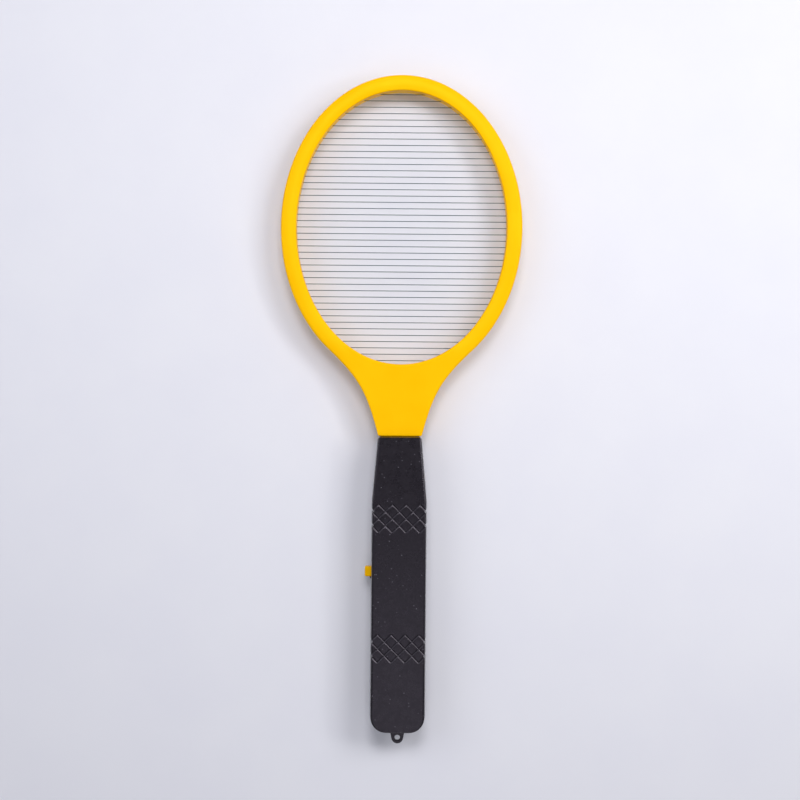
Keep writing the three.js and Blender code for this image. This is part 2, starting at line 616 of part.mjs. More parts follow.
function hollowHandle() {
  const cavity = slab(handleOutline(HANDLE_WALL), HANDLE_WALL, FRONT_WALL_Z, [], CAVITY_BEVEL);
  const spigotHalf = SPIGOT_HALF_WIDTH + CLEARANCE;
  const spigotPassage = block(-spigotHalf, spigotHalf, HANDLE_TOP_Y - 2 * HANDLE_WALL, HANDLE_TOP_Y + 1,
    MID_Z - SPIGOT_THICKNESS / 2 - CLEARANCE, MID_Z + SPIGOT_THICKNESS / 2 + CLEARANCE);
  const buttonHalf = BUTTON_LENGTH / 2 + CLEARANCE;
  const buttonPassage = block(-HANDLE_HALF_WIDTH - GUARD_REACH, -CAVITY_HALF_WIDTH + 1,
    BUTTON_Y - buttonHalf, BUTTON_Y + buttonHalf,
    MID_Z - BUTTON_HEIGHT / 2 - CLEARANCE, MID_Z + BUTTON_HEIGHT / 2 + CLEARANCE);
  return cutSideNotches(handleBody().subtract(cavity)).subtract(spigotPassage).subtract(buttonPassage);
}

function lowerScrewPlaces() {
  return [[-LOWER_SCREW_X, LOWER_SCREW_Y], [LOWER_SCREW_X, LOWER_SCREW_Y]];
}

function topScrewPlaces() {
  return [[-TOP_SCREW_X, TOP_SCREW_Y], [TOP_SCREW_X, TOP_SCREW_Y]];
}

function boardPostPlaces() {
  const x = BOARD_HALF_WIDTH - BOARD_POST_INSET;
  const low = BOARD_LOW_Y + BOARD_POST_INSET;
  const high = BOARD_HIGH_Y - BOARD_POST_INSET;
  return [[-x, low], [x, low], [-x, high], [x, high]];
}

function handleRearShell(half) {
  const neckBossTop = MID_Z - SPIGOT_THICKNESS / 2 - CLEARANCE;
  let shell = half.add(hangingLoop()).add(buttonGuard());
  for (const [x, y] of [...lowerScrewPlaces(), ...topScrewPlaces()]) {
    shell = addRearBoss(shell, x, y, LARGE_SCREW, 0, HANDLE_SCREW_RECESS, REAR_TOP);
  }
  for (const [x, y] of neckScrewPlaces()) {
    shell = addRearBoss(shell, x, y, LARGE_SCREW, 0, NECK_SCREW_RECESS, neckBossTop);
  }
  for (const [x, y] of boardPostPlaces()) {
    shell = shell.add(upright(x, y, BOARD_POST_RADIUS, HANDLE_WALL / 2, BOARD_HEIGHT, 10));
    shell = shell.add(upright(x, y, BOARD_PIN_RADIUS, HANDLE_WALL, BOARD_TOP + 1, 8));
  }
  const partitionLow = TONGUE_TOP + CLEARANCE;
  const partitionY = BAY_TOP_Y + CLEARANCE;
  shell = shell.add(block(-CAVITY_HALF_WIDTH - BOSS_SINK, CAVITY_HALF_WIDTH + BOSS_SINK,
    partitionY, partitionY + PARTITION_THICKNESS, partitionLow, REAR_TOP));
  shell = cutBand(shell, bandTops()[0], 0, -1);
  return shell.subtract(coverBlocks(CLEARANCE));
}

function handleFrontShell(half) {
  const neckBossBottom = MID_Z + SPIGOT_THICKNESS / 2 + CLEARANCE;
  const tip = HANDLE_SCREW_RECESS + HANDLE_SCREW_LENGTH;
  let shell = half;
  for (const [x, y] of [...lowerScrewPlaces(), ...topScrewPlaces()]) {
    shell = addFrontBoss(shell, x, y, LARGE_SCREW, FRONT_BOTTOM, HANDLE_THICKNESS, tip);
  }
  for (const [x, y] of neckScrewPlaces()) {
    const neckTip = NECK_SCREW_RECESS + NECK_SCREW_LENGTH;
    shell = addFrontBoss(shell, x, y, LARGE_SCREW, neckBossBottom, HANDLE_THICKNESS, neckTip);
  }
  // One rib between the cells and two across them hold the cells down.
  const ribTop = FRONT_WALL_Z + CLEARANCE;
  const ribLow = CELL_Z + CELL_DIAMETER / 2 + CLEARANCE;
  shell = shell.add(block(-RIB_THICKNESS / 2, RIB_THICKNESS / 2, FIRST_CELL_Y, SECOND_CELL_Y + CELL_LENGTH,
    FRONT_BOTTOM + 2 * CLEARANCE, ribTop));
  for (const share of RIB_SHARES) {
    const y = FIRST_CELL_Y + share * CELL_LENGTH;
    shell = shell.add(block(-CAVITY_HALF_WIDTH - BOSS_SINK, CAVITY_HALF_WIDTH + BOSS_SINK,
      y, y + RIB_THICKNESS, ribLow, ribTop));
  }
  for (const topY of bandTops()) {
    shell = cutBand(shell, topY, HANDLE_THICKNESS, 1);
  }
  return shell;
}

function handleShells() {
  const { rear, front } = splitAtMiddle(hollowHandle());
  return [
    piece('handle_front_shell', handleFrontShell(front), 0x26262a, 0.6),
    piece('handle_rear_shell', handleRearShell(rear), 0x26262a, 0.6),
  ];
}

// ---------------------------------------------------------------- battery cover

// The cover's plate and the tongue behind the opening's lips; grown by a clearance they cut the opening.
function coverBlocks(grow) {
  const plateHalf = CAVITY_HALF_WIDTH - COVER_LIP_REACH + grow;
  const tongueHalf = CAVITY_HALF_WIDTH - COVER_LIP_REACH + COVER_TONGUE_REACH + grow;
  const low = HANDLE_END_Y - COVER_PULL_PAST_END;
  const high = COVER_TOP_Y + grow;
  const plate = block(-plateHalf, plateHalf, low, high, -1, TONGUE_TOP + grow);
  const tongue = block(-tongueHalf, tongueHalf, low, high + COVER_TONGUE_REACH,
    TONGUE_TOP - COVER_TONGUE - grow, TONGUE_TOP + grow);
  return plate.add(tongue);
}

function batteryCover() {
  let cover = handleBody().intersect(coverBlocks(0));
  for (let i = 0; i < COVER_GRIP_LINES; i += 1) {
    const y = COVER_TOP_Y - COVER_GRIP_BELOW_TOP - i * COVER_GRIP_PITCH;
    cover = cover.subtract(block(-COVER_GRIP_HALF_WIDTH, COVER_GRIP_HALF_WIDTH,
      y - GROOVE_DEPTH, y + GROOVE_DEPTH, -1, GROOVE_DEPTH));
  }
  return piece('battery_cover', cover, 0x26262a, 0.6);
}

// ---------------------------------------------------------------- push button and switch

function roundedRectangle(halfX, halfY, radius, x = 0, y = 0) {
  const quarter = Math.PI / 2;
  const corners = [[1, 1], [-1, 1], [-1, -1], [1, -1]];
  return corners.flatMap(([signX, signY], i) => ellipseArc(radius, radius, i * quarter, (i + 1) * quarter, 3,
    x + signX * (halfX - radius), y + signY * (halfY - radius)));
}

function pushButton() {
  const flangeStart = -CAVITY_HALF_WIDTH + CLEARANCE;
  const flangeEnd = flangeStart + BUTTON_FLANGE_THICKNESS;
  const halfLength = BUTTON_LENGTH / 2;
  const halfHeight = BUTTON_HEIGHT / 2;
  const tip = -HANDLE_HALF_WIDTH - BUTTON_PROJECTION;
  const outline = roundedRectangle((flangeStart - tip) / 2, halfLength, BUTTON_CORNER,
    (flangeStart + tip) / 2, BUTTON_Y);
  const cap = slab(outline, MID_Z - halfHeight, MID_Z + halfHeight, [], BUTTON_BEVEL);
  const flange = block(flangeStart - 1, flangeEnd, BUTTON_Y - halfLength - BUTTON_FLANGE_REACH,
    BUTTON_Y + halfLength + BUTTON_FLANGE_REACH, MID_Z - halfHeight - BUTTON_FLANGE_REACH,
    MID_Z + halfHeight + BUTTON_FLANGE_REACH);
  const inside = block(flangeStart, flangeEnd + 1, HANDLE_END_Y, HANDLE_TOP_Y, 0, HANDLE_THICKNESS);
  const stem = rod([flangeEnd - BUTTON_FLANGE_THICKNESS / 2, BUTTON_Y, MID_Z],
    [plungerTip() - CLEARANCE, BUTTON_Y, MID_Z], BUTTON_STEM_RADIUS, ROUND_STEPS);
  return piece('push_button', cap.add(flange.intersect(inside)).add(stem), 0xfec91c, 0.4);
}

function plungerTip() {
  return SWITCH_X - BUTTON_TRAVEL - PLUNGER_REACH;
}

function switchPieces() {
  const height = 2 * (MID_Z - BOARD_TOP);
  const bore = rod([SWITCH_X - 1, BUTTON_Y, MID_Z], [SWITCH_X + 2 * BUTTON_TRAVEL + 1, BUTTON_Y, MID_Z],
    PLUNGER_RADIUS + CLEARANCE, 10);
  const half = SWITCH_SIZE / 2;
  const body = block(SWITCH_X, SWITCH_X + SWITCH_SIZE, BUTTON_Y - half, BUTTON_Y + half,
    BOARD_TOP, BOARD_TOP + height).subtract(bore);
  const plunger = rod([plungerTip(), BUTTON_Y, MID_Z], [SWITCH_X + BUTTON_TRAVEL, BUTTON_Y, MID_Z],
    PLUNGER_RADIUS, 10);
  return [
    piece('switch_body', body, 0x2b2b2e, 0.5),
    piece('switch_plunger', plunger, 0xe8e6e0, 0.45),
  ];
}

// ---------------------------------------------------------------- circuit board

function circuitBoard() {
  let board = block(-BOARD_HALF_WIDTH, BOARD_HALF_WIDTH, BOARD_LOW_Y, BOARD_HIGH_Y, BOARD_HEIGHT, BOARD_TOP);
  for (const [x, y] of boardPostPlaces()) {
    board = board.subtract(upright(x, y, BOARD_PIN_RADIUS + CLEARANCE, 0, HANDLE_THICKNESS, 8));
  }
  // The posts end under the board, so only the pins pass through it.
  return piece('circuit_board', board, 0xb98a4a, 0.6);
}

function boardY(share) {
  return THREE.MathUtils.lerp(UPPER_BOARD_START, BOARD_HIGH_Y, share);
}

function transformer() {
  const y = boardY(TRANSFORMER_SHARE);
  const low = BOARD_TOP;
  const high = low + CORE_HEIGHT;
  const halfDepth = CORE_DEPTH / 2;
  const halfLeg = CORE_CENTRE_LEG / 2;
  let core = block(-CORE_WIDTH / 2, CORE_WIDTH / 2, y - halfDepth, y + halfDepth, low, high);
  for (const side of [-1, 1]) {
    const edges = [side * halfLeg, side * (CORE_WIDTH / 2 - CORE_LEG)].sort((a, b) => a - b);
    core = core.subtract(block(edges[0], edges[1], y - CORE_DEPTH, y + CORE_DEPTH,
      low + CORE_LEG, high - CORE_LEG));
  }
  const inner = [halfLeg + CLEARANCE, halfDepth + CLEARANCE];
  const tubeHalf = inner.map((value) => value + BOBBIN_WALL);
  const outer = tubeHalf.map((value) => value + WINDING_BUILD - CLEARANCE);
  const spoolLow = low + CORE_LEG + CLEARANCE;
  const spoolHigh = high - CORE_LEG - CLEARANCE;
  const box = (half, z0, z1) => block(-half[0], half[0], y - half[1], y + half[1], z0, z1);
  const bobbin = box(outer, spoolLow, spoolLow + BOBBIN_WALL)
    .add(box(outer, spoolHigh - BOBBIN_WALL, spoolHigh))
    .add(box(tubeHalf, spoolLow, spoolHigh)).subtract(box(inner, low, high));
  const hole = roundedRectangle(tubeHalf[0] + WINDING_GAP, tubeHalf[1] + WINDING_GAP, WINDING_GAP, 0, y);
  const wound = roundedRectangle(outer[0] - 2 * WINDING_GAP, outer[1] - 2 * WINDING_GAP, ROUNDING, 0, y);
  const winding = slab(wound, spoolLow + BOBBIN_WALL + WINDING_GAP, spoolHigh - BOBBIN_WALL - WINDING_GAP,
    [hole]);
  return [
    piece('transformer_core', core, 0x3a3a3c, 0.6),
    piece('transformer_bobbin', bobbin, 0xe9e2cf, 0.5),
    piece('transformer_winding', winding, 0xb4622a, 0.4, 0.5),
  ];
}

function storageCapacitor() {
  const [width, depth, height] = CAPACITOR_SIZE;
  const y = BUTTON_Y - SWITCH_SIZE / 2 - depth;
  const outline = roundedRectangle(width / 2, depth / 2, ROUNDING, 0, y);
  const solid = slab(outline, BOARD_TOP, BOARD_TOP + height, [], CAPACITOR_BEVEL);
  return piece('storage_capacitor', solid, 0x8d2a1e, 0.35);
}

// A small part lying over the board on two bent legs; along is [1, 0] or [0, 1].
function axialPart(name, x, y, along, length, radius, color) {
  const z = BOARD_TOP + LEG_STANDOFF + radius;
  const at = (distance, height) => [x + along[0] * distance, y + along[1] * distance, height];
  const reach = length / 2 + LEG_REACH;
  const solid = rod(at(-length / 2, z), at(length / 2, z), radius, 8)
    .add(rod(at(-reach, z), at(reach, z), LEG_RADIUS, LEG_STEPS))
    .add(rod(at(-reach, z + LEG_RADIUS), at(-reach, BOARD_TOP), LEG_RADIUS, LEG_STEPS))
    .add(rod(at(reach, z + LEG_RADIUS), at(reach, BOARD_TOP), LEG_RADIUS, LEG_STEPS));
  return piece(name, solid, color, 0.4);
}

function discCapacitor(name, x) {
  const y = boardY(PARTS_ROW_SHARE);
  const z = BOARD_TOP + LEG_STANDOFF + DISC_RADIUS;
  const solid = rod([x - DISC_THICKNESS / 2, y, z], [x + DISC_THICKNESS / 2, y, z], DISC_RADIUS, 12)
    .add(rod([x, y - DISC_LEG_Y, z], [x, y - DISC_LEG_Y, BOARD_TOP], LEG_RADIUS, LEG_STEPS))
    .add(rod([x, y + DISC_LEG_Y, z], [x, y + DISC_LEG_Y, BOARD_TOP], LEG_RADIUS, LEG_STEPS));
  return piece(name, solid, 0x3b73b8, 0.45);
}

function transistor() {
  const x = SWITCH_X + SWITCH_SIZE + TRANSISTOR_FROM_SWITCH;
  const y = BUTTON_Y;
  const reach = TRANSISTOR_RADIUS;
  const low = BOARD_TOP + TRANSISTOR_STANDOFF;
  const body = upright(x, y, reach, low, low + TRANSISTOR_HEIGHT, 12)
    .intersect(block(x - reach / 2, x + 2 * reach, y - 2 * reach, y + 2 * reach, 0, HANDLE_THICKNESS));
  const half = TRANSISTOR_LEG / 2;
  const legs = [-1, 0, 1].map((step) => {
    const legY = y + step * TRANSISTOR_LEG_PITCH;
    return block(x, x + 2 * half, legY - half, legY + half, BOARD_TOP, low + TRANSISTOR_STANDOFF / 2);
  });
  return piece('oscillator_transistor', legs.reduce((whole, leg) => whole.add(leg), body), 0x1d1d20, 0.45);
}

function boardParts() {
  const across = [1, 0];
  const lengthwise = [0, 1];
  const diodes = [1, 2, 3].map((number) => axialPart(`rectifier_diode_${number}`,
    -BOARD_HALF_WIDTH + DIODE_FROM_EDGE + DIODE_PITCH * (number - 1), boardY(PARTS_ROW_SHARE),
    lengthwise, DIODE_LENGTH, DIODE_RADIUS, 0x202022));
  const resistorY = BOARD_LOW_Y + BOARD_POST_INSET + RESISTOR_ABOVE_POST;
  const resistor = (name, x) => axialPart(name, x, resistorY, across, RESISTOR_LENGTH, RESISTOR_RADIUS,
    0xc9a878);
  return [
    ...transformer(),
    storageCapacitor(),
    discCapacitor('multiplier_capacitor_1', BOARD_HALF_WIDTH - DISC_FROM_EDGE[0]),
    discCapacitor('multiplier_capacitor_2', BOARD_HALF_WIDTH - DISC_FROM_EDGE[1]),
    ...diodes,
    transistor(),
    resistor('base_resistor', -BOARD_HALF_WIDTH / 2),
    resistor('bleed_resistor', BOARD_HALF_WIDTH / 2),
  ];
}

// ---------------------------------------------------------------- cells and contacts

function cell(name, x, lowY, nubUp) {
  const radius = CELL_DIAMETER / 2;
  const nubRadius = CELL_NUB_DIAMETER / 2;
  const shoulder = CELL_LENGTH - CELL_NUB_HEIGHT;
  const profile = [
    [0, 0], [radius - CELL_FOOT_CHAMFER, 0], [radius, CELL_FOOT_CHAMFER],
    [radius, shoulder - CELL_SHOULDER_CHAMFER], [radius - CELL_SHOULDER_CHAMFER, shoulder],
    [nubRadius, shoulder], [nubRadius, CELL_LENGTH], [0, CELL_LENGTH],
  ].map(([r, y]) => new THREE.Vector2(r, y));
  const geometry = new THREE.LatheGeometry(profile, 18);
  if (!nubUp) {
    geometry.rotateX(Math.PI);
    geometry.translate(0, CELL_LENGTH, 0);
  }
  geometry.translate(x, lowY, CELL_Z);
  return piece(name, solidFrom(geometry), 0x2f6f4a, 0.35, 0.4);
}

// A strip folded out from the contact plate to meet a cell's nub.
function contactTongue(x, plateY, faceY) {
  const toCell = Math.sign(faceY - plateY);
  const half = CONTACT_HALF_WIDTH;
  const edge = faceY + toCell * -CONTACT_THICKNESS;
  const span = (a, b) => [Math.min(a, b), Math.max(a, b)];
  const [faceLow, faceHigh] = span(faceY, edge);
  const [legLow, legHigh] = span(faceY, plateY);
  const z0 = CELL_Z - half;
  const z1 = CELL_Z + half;
  return block(x - half, x + half, faceLow, faceHigh, z0, z1)
    .add(block(x - half, x - half + CONTACT_THICKNESS, legLow, legHigh, z0, z1))
    .add(block(x + half - CONTACT_THICKNESS, x + half, legLow, legHigh, z0, z1));
}

function contactPlate(x0, x1, lowY) {
  const half = CONTACT_HEIGHT / 2;
  return block(x0, x1, lowY, lowY + CONTACT_THICKNESS, CELL_Z - half, CELL_Z + half);
}

class Helix extends THREE.Curve {
  constructor(x, lowY, length) {
    super();
    Object.assign(this, { x, lowY, length });
  }

  getPoint(share, target = new THREE.Vector3()) {
    const angle = 2 * Math.PI * SPRING_TURNS * share;
    return target.set(this.x + SPRING_RADIUS * Math.cos(angle), this.lowY + this.length * share,
      CELL_Z + SPRING_RADIUS * Math.sin(angle));
  }
}

function cellSpring(name, x, lowY) {
  const margin = SPRING_WIRE_RADIUS + CLEARANCE;
  const path = new Helix(x, lowY + margin, SPRING_LENGTH - 2 * margin);
  const shape = new THREE.Shape(round(SPRING_WIRE_RADIUS, 4));
  const steps = Math.round(SPRING_TURNS * SPRING_STEPS_PER_TURN);
  const geometry = new THREE.ExtrudeGeometry(shape, { steps, bevelEnabled: false, extrudePath: path });
  return piece(name, solidFrom(geometry), 0xb9bbc0, 0.3, 0.95);
}

function cellsAndContacts() {
  const half = CONTACT_HALF_WIDTH;
  const firstNubY = FIRST_CELL_Y + CELL_LENGTH + CLEARANCE;
  const secondNubY = SECOND_CELL_Y - CLEARANCE;
  const positive = contactPlate(-CELL_X - half, -CELL_X + half, UPPER_SPRING_Y)
    .add(contactTongue(-CELL_X, BAY_TOP_Y - CONTACT_THICKNESS / 2, firstNubY));
  const negative = contactPlate(CELL_X - half, CELL_X + half, UPPER_SPRING_Y);
  const bridge = contactPlate(-CELL_X - half, CELL_X + half, BAY_END_Y)
    .add(contactTongue(CELL_X, BAY_END_Y + CONTACT_THICKNESS / 2, secondNubY));
  return [
    cell('battery_1', -CELL_X, FIRST_CELL_Y, true),
    cell('battery_2', CELL_X, SECOND_CELL_Y, false),
    piece('contact_positive', positive, 0xb9bbc0, 0.3, 0.95),
    piece('contact_negative', negative, 0xb9bbc0, 0.3, 0.95),
    piece('contact_bridge', bridge, 0xb9bbc0, 0.3, 0.95),
    cellSpring('contact_spring_lower', -CELL_X, LOWER_SPRING_Y),
    cellSpring('contact_spring_upper', CELL_X, UPPER_SPRING_Y - SPRING_LENGTH),
  ];
}

// ---------------------------------------------------------------- leads

function highVoltageLead(name, side) {
  const offset = STRIP_OFFSET + STRIP_WIDTH / 2;
  const drop = (OPENING_HALF_LENGTH + offset) * Math.sin(stripEndAngle);
  const stripEndY = RING_Y - drop;
  const neckHalf = SPIGOT_CHANNEL_HALF_WIDTH / 2;
  const boardReach = LEAD_BOARD_X;
  const points = [
    [side * (STRIP_END_X - 2 * LEAD_RADIUS), stripEndY - 1, MID_Z],
    [side * (STRIP_END_X - LEAD_BEND), stripEndY - LEAD_BEND, MID_Z],
    [side * LEAD_NECK_X, (stripEndY + HANDLE_TOP_Y) / 2, MID_Z],
    [side * neckHalf, HANDLE_TOP_Y + LEAD_BEND, MID_Z],
    [side * neckHalf, HANDLE_TOP_Y - SPIGOT_LENGTH, MID_Z],
    [side * (neckHalf + boardReach) / 2, TOP_SCREW_Y, MID_Z + LEAD_ARCH],
    [side * boardReach, BOARD_HIGH_Y - LEAD_RADIUS, MID_Z + LEAD_ARCH],
    [side * boardReach, BOARD_HIGH_Y - LEAD_ARCH, MID_Z],
    [side * boardReach, BOARD_HIGH_Y - LEAD_ARCH - CLEARANCE / 2, BOARD_TOP + CLEARANCE],
  ];
  return piece(name, tube(points, LEAD_RADIUS, 20, 6), side < 0 ? 0xc42a22 : 0xe8e6e0, 0.5);
}

function batteryLead(name, side, color) {
  const top = CELL_Z + CONTACT_HEIGHT / 2;
  const y = BAY_TOP_Y - CONTACT_THICKNESS / 2;
  const points = [
    [side * CELL_X, y, top + CLEARANCE],
    [side * CELL_X, y + LEAD_RADIUS, top + BATTERY_LEAD_RISE],
    [side * (CELL_X - 1), y + LEAD_BEND, top + BATTERY_LEAD_RISE],
    [side * (BATTERY_LEAD_X + 1), LOWER_SCREW_Y, top],
    [side * BATTERY_LEAD_X, BOARD_LOW_Y + LEAD_RADIUS, top - CLEARANCE],
    [side * BATTERY_LEAD_X, BOARD_LOW_Y + LEAD_ARCH, MID_Z],
    [side * BATTERY_LEAD_X, BOARD_LOW_Y + LEAD_ARCH + CLEARANCE / 2, BOARD_TOP + CLEARANCE],
  ];
  return piece(name, tube(points, LEAD_RADIUS, 14, 6), color, 0.5);
}

// ---------------------------------------------------------------- assembly

function screws() {
  const ring = headScrewPlaces().map(([x, y], i) => screw(`head_screw_${i + 1}`, x, y,
    HEAD_BACK + RING_SCREW_RECESS, RING_SCREW_LENGTH, SMALL_SCREW));
  const neck = neckScrewPlaces().map(([x, y], i) => screw(`neck_screw_${i + 1}`, x, y,
    NECK_SCREW_RECESS, NECK_SCREW_LENGTH, LARGE_SCREW));
  const handle = [...topScrewPlaces(), ...lowerScrewPlaces()].map(([x, y], i) => (
    screw(`handle_screw_${i + 1}`, x, y, HANDLE_SCREW_RECESS, HANDLE_SCREW_LENGTH, LARGE_SCREW)));
  return [...ring, ...neck, ...handle];
}

const flySwatter = new THREE.Group();
flySwatter.add(
  ...headShells(),
  comb('grid_live_comb', -1, 0),
  comb('grid_return_comb', 1, 1),
  ...handleShells(),
  batteryCover(),
  pushButton(),
  ...switchPieces(),
  circuitBoard(),
  ...boardParts(),
  ...cellsAndContacts(),
  highVoltageLead('high_voltage_lead_live', -1),
  highVoltageLead('high_voltage_lead_return', 1),
  batteryLead('battery_lead_positive', -1, 0xc42a22),
  batteryLead('battery_lead_negative', 1, 0x1d1d20),
  ...screws(),
);

export default flySwatter;
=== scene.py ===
"""Looks of an electric fly swatter: fine meshes and finishes round the CAD frame. Sizes are in mm."""
import math

import bmesh
import bpy
from mathutils import Matrix, Vector


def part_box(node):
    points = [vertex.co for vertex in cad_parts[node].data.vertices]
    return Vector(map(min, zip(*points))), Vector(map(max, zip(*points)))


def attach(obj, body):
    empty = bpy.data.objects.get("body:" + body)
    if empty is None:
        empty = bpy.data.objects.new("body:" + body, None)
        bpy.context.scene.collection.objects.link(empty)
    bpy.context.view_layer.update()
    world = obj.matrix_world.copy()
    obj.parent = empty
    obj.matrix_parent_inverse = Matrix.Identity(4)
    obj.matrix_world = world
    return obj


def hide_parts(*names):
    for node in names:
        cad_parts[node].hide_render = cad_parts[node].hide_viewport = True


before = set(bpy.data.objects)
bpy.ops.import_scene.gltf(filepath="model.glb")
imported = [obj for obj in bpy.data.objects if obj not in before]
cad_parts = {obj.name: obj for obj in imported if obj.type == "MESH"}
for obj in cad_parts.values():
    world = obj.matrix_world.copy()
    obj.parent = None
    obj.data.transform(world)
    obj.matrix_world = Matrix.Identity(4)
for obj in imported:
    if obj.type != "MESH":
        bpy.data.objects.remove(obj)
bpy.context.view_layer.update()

MM = 0.001

# ------------------------------------------------------------------ places read from the frame


def span(node):
    """A CAD node's lowest and highest corner in millimetres."""
    low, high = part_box(node)
    return low / MM, high / MM


def middle(node):
    low, high = span(node)
    return (low + high) / 2


HEAD_LOW, HEAD_HIGH = span("head_front_shell")
GRIP_LOW, GRIP_HIGH = span("handle_front_shell")
REAR_LOW, REAR_HIGH = span("handle_rear_shell")
COVER_LOW, COVER_HIGH = span("battery_cover")
BUTTON_LOW, BUTTON_HIGH = span("push_button")

FRONT_PARTING = HEAD_LOW.z  # lowest point of the front halves
REAR_PARTING = REAR_HIGH.z  # highest point of the rear halves
MID_Z = (FRONT_PARTING + REAR_PARTING) / 2
HEAD_BACK = span("head_rear_shell")[0].z
HEAD_FRONT = HEAD_HIGH.z
GRIP_TOP = GRIP_HIGH.y
GRIP_END = GRIP_LOW.y
GRIP_HALF = GRIP_HIGH.x
GRIP_FRONT = GRIP_HIGH.z

# ------------------------------------------------------------------ sizes the frame doesn't give

# Head
RING_HALF_X = HEAD_HIGH.x
RING_HALF_Y = 100.7
RING_Y = HEAD_HIGH.y - RING_HALF_Y
BAND = 10.3
OPENING_X = RING_HALF_X - BAND
OPENING_Y = RING_HALF_Y - BAND
FACE_WALL = 1.8
INNER_WALL = 1.4
RIM_WALL = 1.6
OUTER_ROUND = 1.7
NECK_END_ROUND = 0.8
NECK_ROUND_FADE = 60.0  # the height above the neck's end at which its edges are as round as the ring's
INNER_ROUND = 1.3
CROWN = 0.55  # how much the ring's face swells between its edges
CROWN_FADES = (9.0, 17.0)  # widths of face between which the swelling dies away
PARTING_BEVEL = 0.25
NECK_END = GRIP_TOP + 0.3
NECK_HALF = 14.4
NECK_CORNER = 1.6
NECK_JOIN_DROP = 80.6
NECK_PULLS = (27.7, 30.4)  # how far the curve is drawn out at the ring and at the grip
NECK_SLANT = math.radians(14.7)
SPIGOT = (10.5, 14.0, 8.4)  # half width, length, thickness
SPIGOT_ROOT = 0.8  # how far the spigot reaches into the neck
SPIGOT_ROOM = 5.3  # from the parting plane to the bosses over and under the spigot
SPIGOT_CHANNEL = (3.0, 3.0)  # half width and half height of the wires' way through it
SPIGOT_CHANNEL_REACH = (15.0, 4.0)  # below and above the neck's end
NECK_BORE = 1.6
HEAD_CEILING_DROP = 0.4  # how much thicker the face is than its wall at the edge
HEAD_BOSS_WALL = 1.4  # round each screw in the head
HEAD_BOSS_ROOT = 0.9  # from a shell's outside to where its bosses start
HEAD_SEAT = 1.1  # from the head's back to the seats of its screws
HEAD_BORE_DEPTH = 7.3  # from those seats to the bottom of the bores in the front half

# Wires
WIRE_COUNT = 43
WIRE_PITCH = 4.2
GRID_SHIFT = 0.25  # from the ring's middle up to the grid's
WIRE_RADIUS = 0.24
WIRE_PASSAGE = 0.5
STRIP_OFFSET = 2.9
STRIP_WIDTH = 1.2
STRIP_THICKNESS = 0.7
STRIP_END_X = 20.0
WIRE_END_ROUND = 0.12
WIRE_FREE_END = 0.5  # how far a wire's free end goes past the inner wall
WIRE_IN_STRIP = 0.7  # share of the strip's width that a wire crosses
PASSAGE_OVERRUN = 0.8  # how far a wire's passage is cut past the inner wall

# Handle
GRIP_TOP_HALF = 14.5
SHOULDER_DROP = 42.3
SHOULDER_ROUND = 30.0
GRIP_TOP_CORNER = 2.6
GRIP_END_CORNER = 10.5
GRIP_WALL = 1.8
GRIP_STRAIGHT = 3.5  # height of the upright part of each side, from the parting plane
GRIP_DRAFT = 0.5  # how much each side leans in above that, up to the face's edge
GRIP_END_SHARES = (0.5, 0.2)  # how much of that the lower and the upper end have
GRIP_EDGE = (0.7, 1.3)  # rounding of each edge below its bevel: across, and down
GRIP_BEVEL = (0.75, 0.35)  # flat bevel round each face: across, and down
BEVEL_LIP = 0.12  # share of the bevel next to the face that turns over into it
BAND_PERIOD = 9.05  # from one diamond to the next, across
BAND_HEIGHT = 18.4
HANDLE_TOP = GRIP_TOP + 0.3
BAND_TOPS = (HANDLE_TOP - 44.4, HANDLE_TOP - 129.8)
GROOVE_LIPS = ((1.1, -0.3), (1.05, 0.0), (0.62, 0.14), (0.3, 0.32), (0.0, 0.5))
NOTCH_HALVES = (0.5, 2.6)  # half its height at the bottom, and as far outside the handle as it is deep
NOTCH_DEPTH = 1.5
NOTCH_SHARES = (0.25, 0.75)  # how far down the band the two notches sit
LOOP_RADIUS = 3.9
LOOP_ROOT_HALF = 5.3
LOOP_LEAN = 0.15  # radians of the round end left off where the sides meet it
LOOP_THICKNESS = 3.2
LOOP_HOLE = 1.85
LOOP_EDGE = 0.5
LOOP_FLARE = 0.35
HANDLE_BOSS_WALL = 1.6
HANDLE_BORE_TOPS = (20.3, 22.8)  # where the bores end for the handle's screws and for the neck's
HANDLE_SEATS = (8.0, 4.0)  # heights of the seats of the handle's screws and of the neck's
REAR_BOSS_ROOT = 1.5  # height at which the rear half's bosses start
BOSS_ROOT = 0.9  # how deep in the handle's wall a boss, rib or post starts
RIB_THICKNESS = 1.4
RIB_SHARES = (0.2, 0.8)  # how far up the cells the cross ribs sit
RIB_SHORTER = 2.2  # from the handle's side to the end of a cross rib
CELL_LENGTH = 50.5
SHELF = (1.9, 1.6)  # from the handle's side to the shelf's end, and the shelf's thickness
BOARD_POST_INSET = 3.2
BOARD_POST = (2.0, 1.0)  # radius of the post and of its pin

# Battery cover
COVER_HALF = 14.0
COVER_TOP = COVER_HIGH.y - 1.6
COVER_GAP = 0.3
COVER_TONGUE = 1.2
COVER_CORNER = 1.2
COVER_EDGE = 0.35
THUMB_GROOVES = (3, 5.0, 2.4)  # how many, the first one's distance from the top edge, and their pitch
THUMB_GROOVE = (5.0, 0.6, 0.6)  # half width, half height, depth

# Button
BUTTON_Y = (BUTTON_LOW.y + BUTTON_HIGH.y) / 2
BUTTON_HALF_Y = 3.35
BUTTON_HALF_Z = 3.2
BUTTON_FLANGE = (1.2, 1.6)  # thickness, and how far it reaches past the button
BUTTON_CORNER = 1.0
BUTTON_EDGE = (0.8, 0.9)
BUTTON_STEM = 2.0
BUTTON_ROOM = 0.3

# Screws: head radius, head height, shank radius, clearance round the head
LARGE_SCREW = (2.6, 1.8, 1.3, 0.3)
SMALL_SCREW = (1.75, 1.1, 1.0, 0.3)

# ------------------------------------------------------------------ outlines


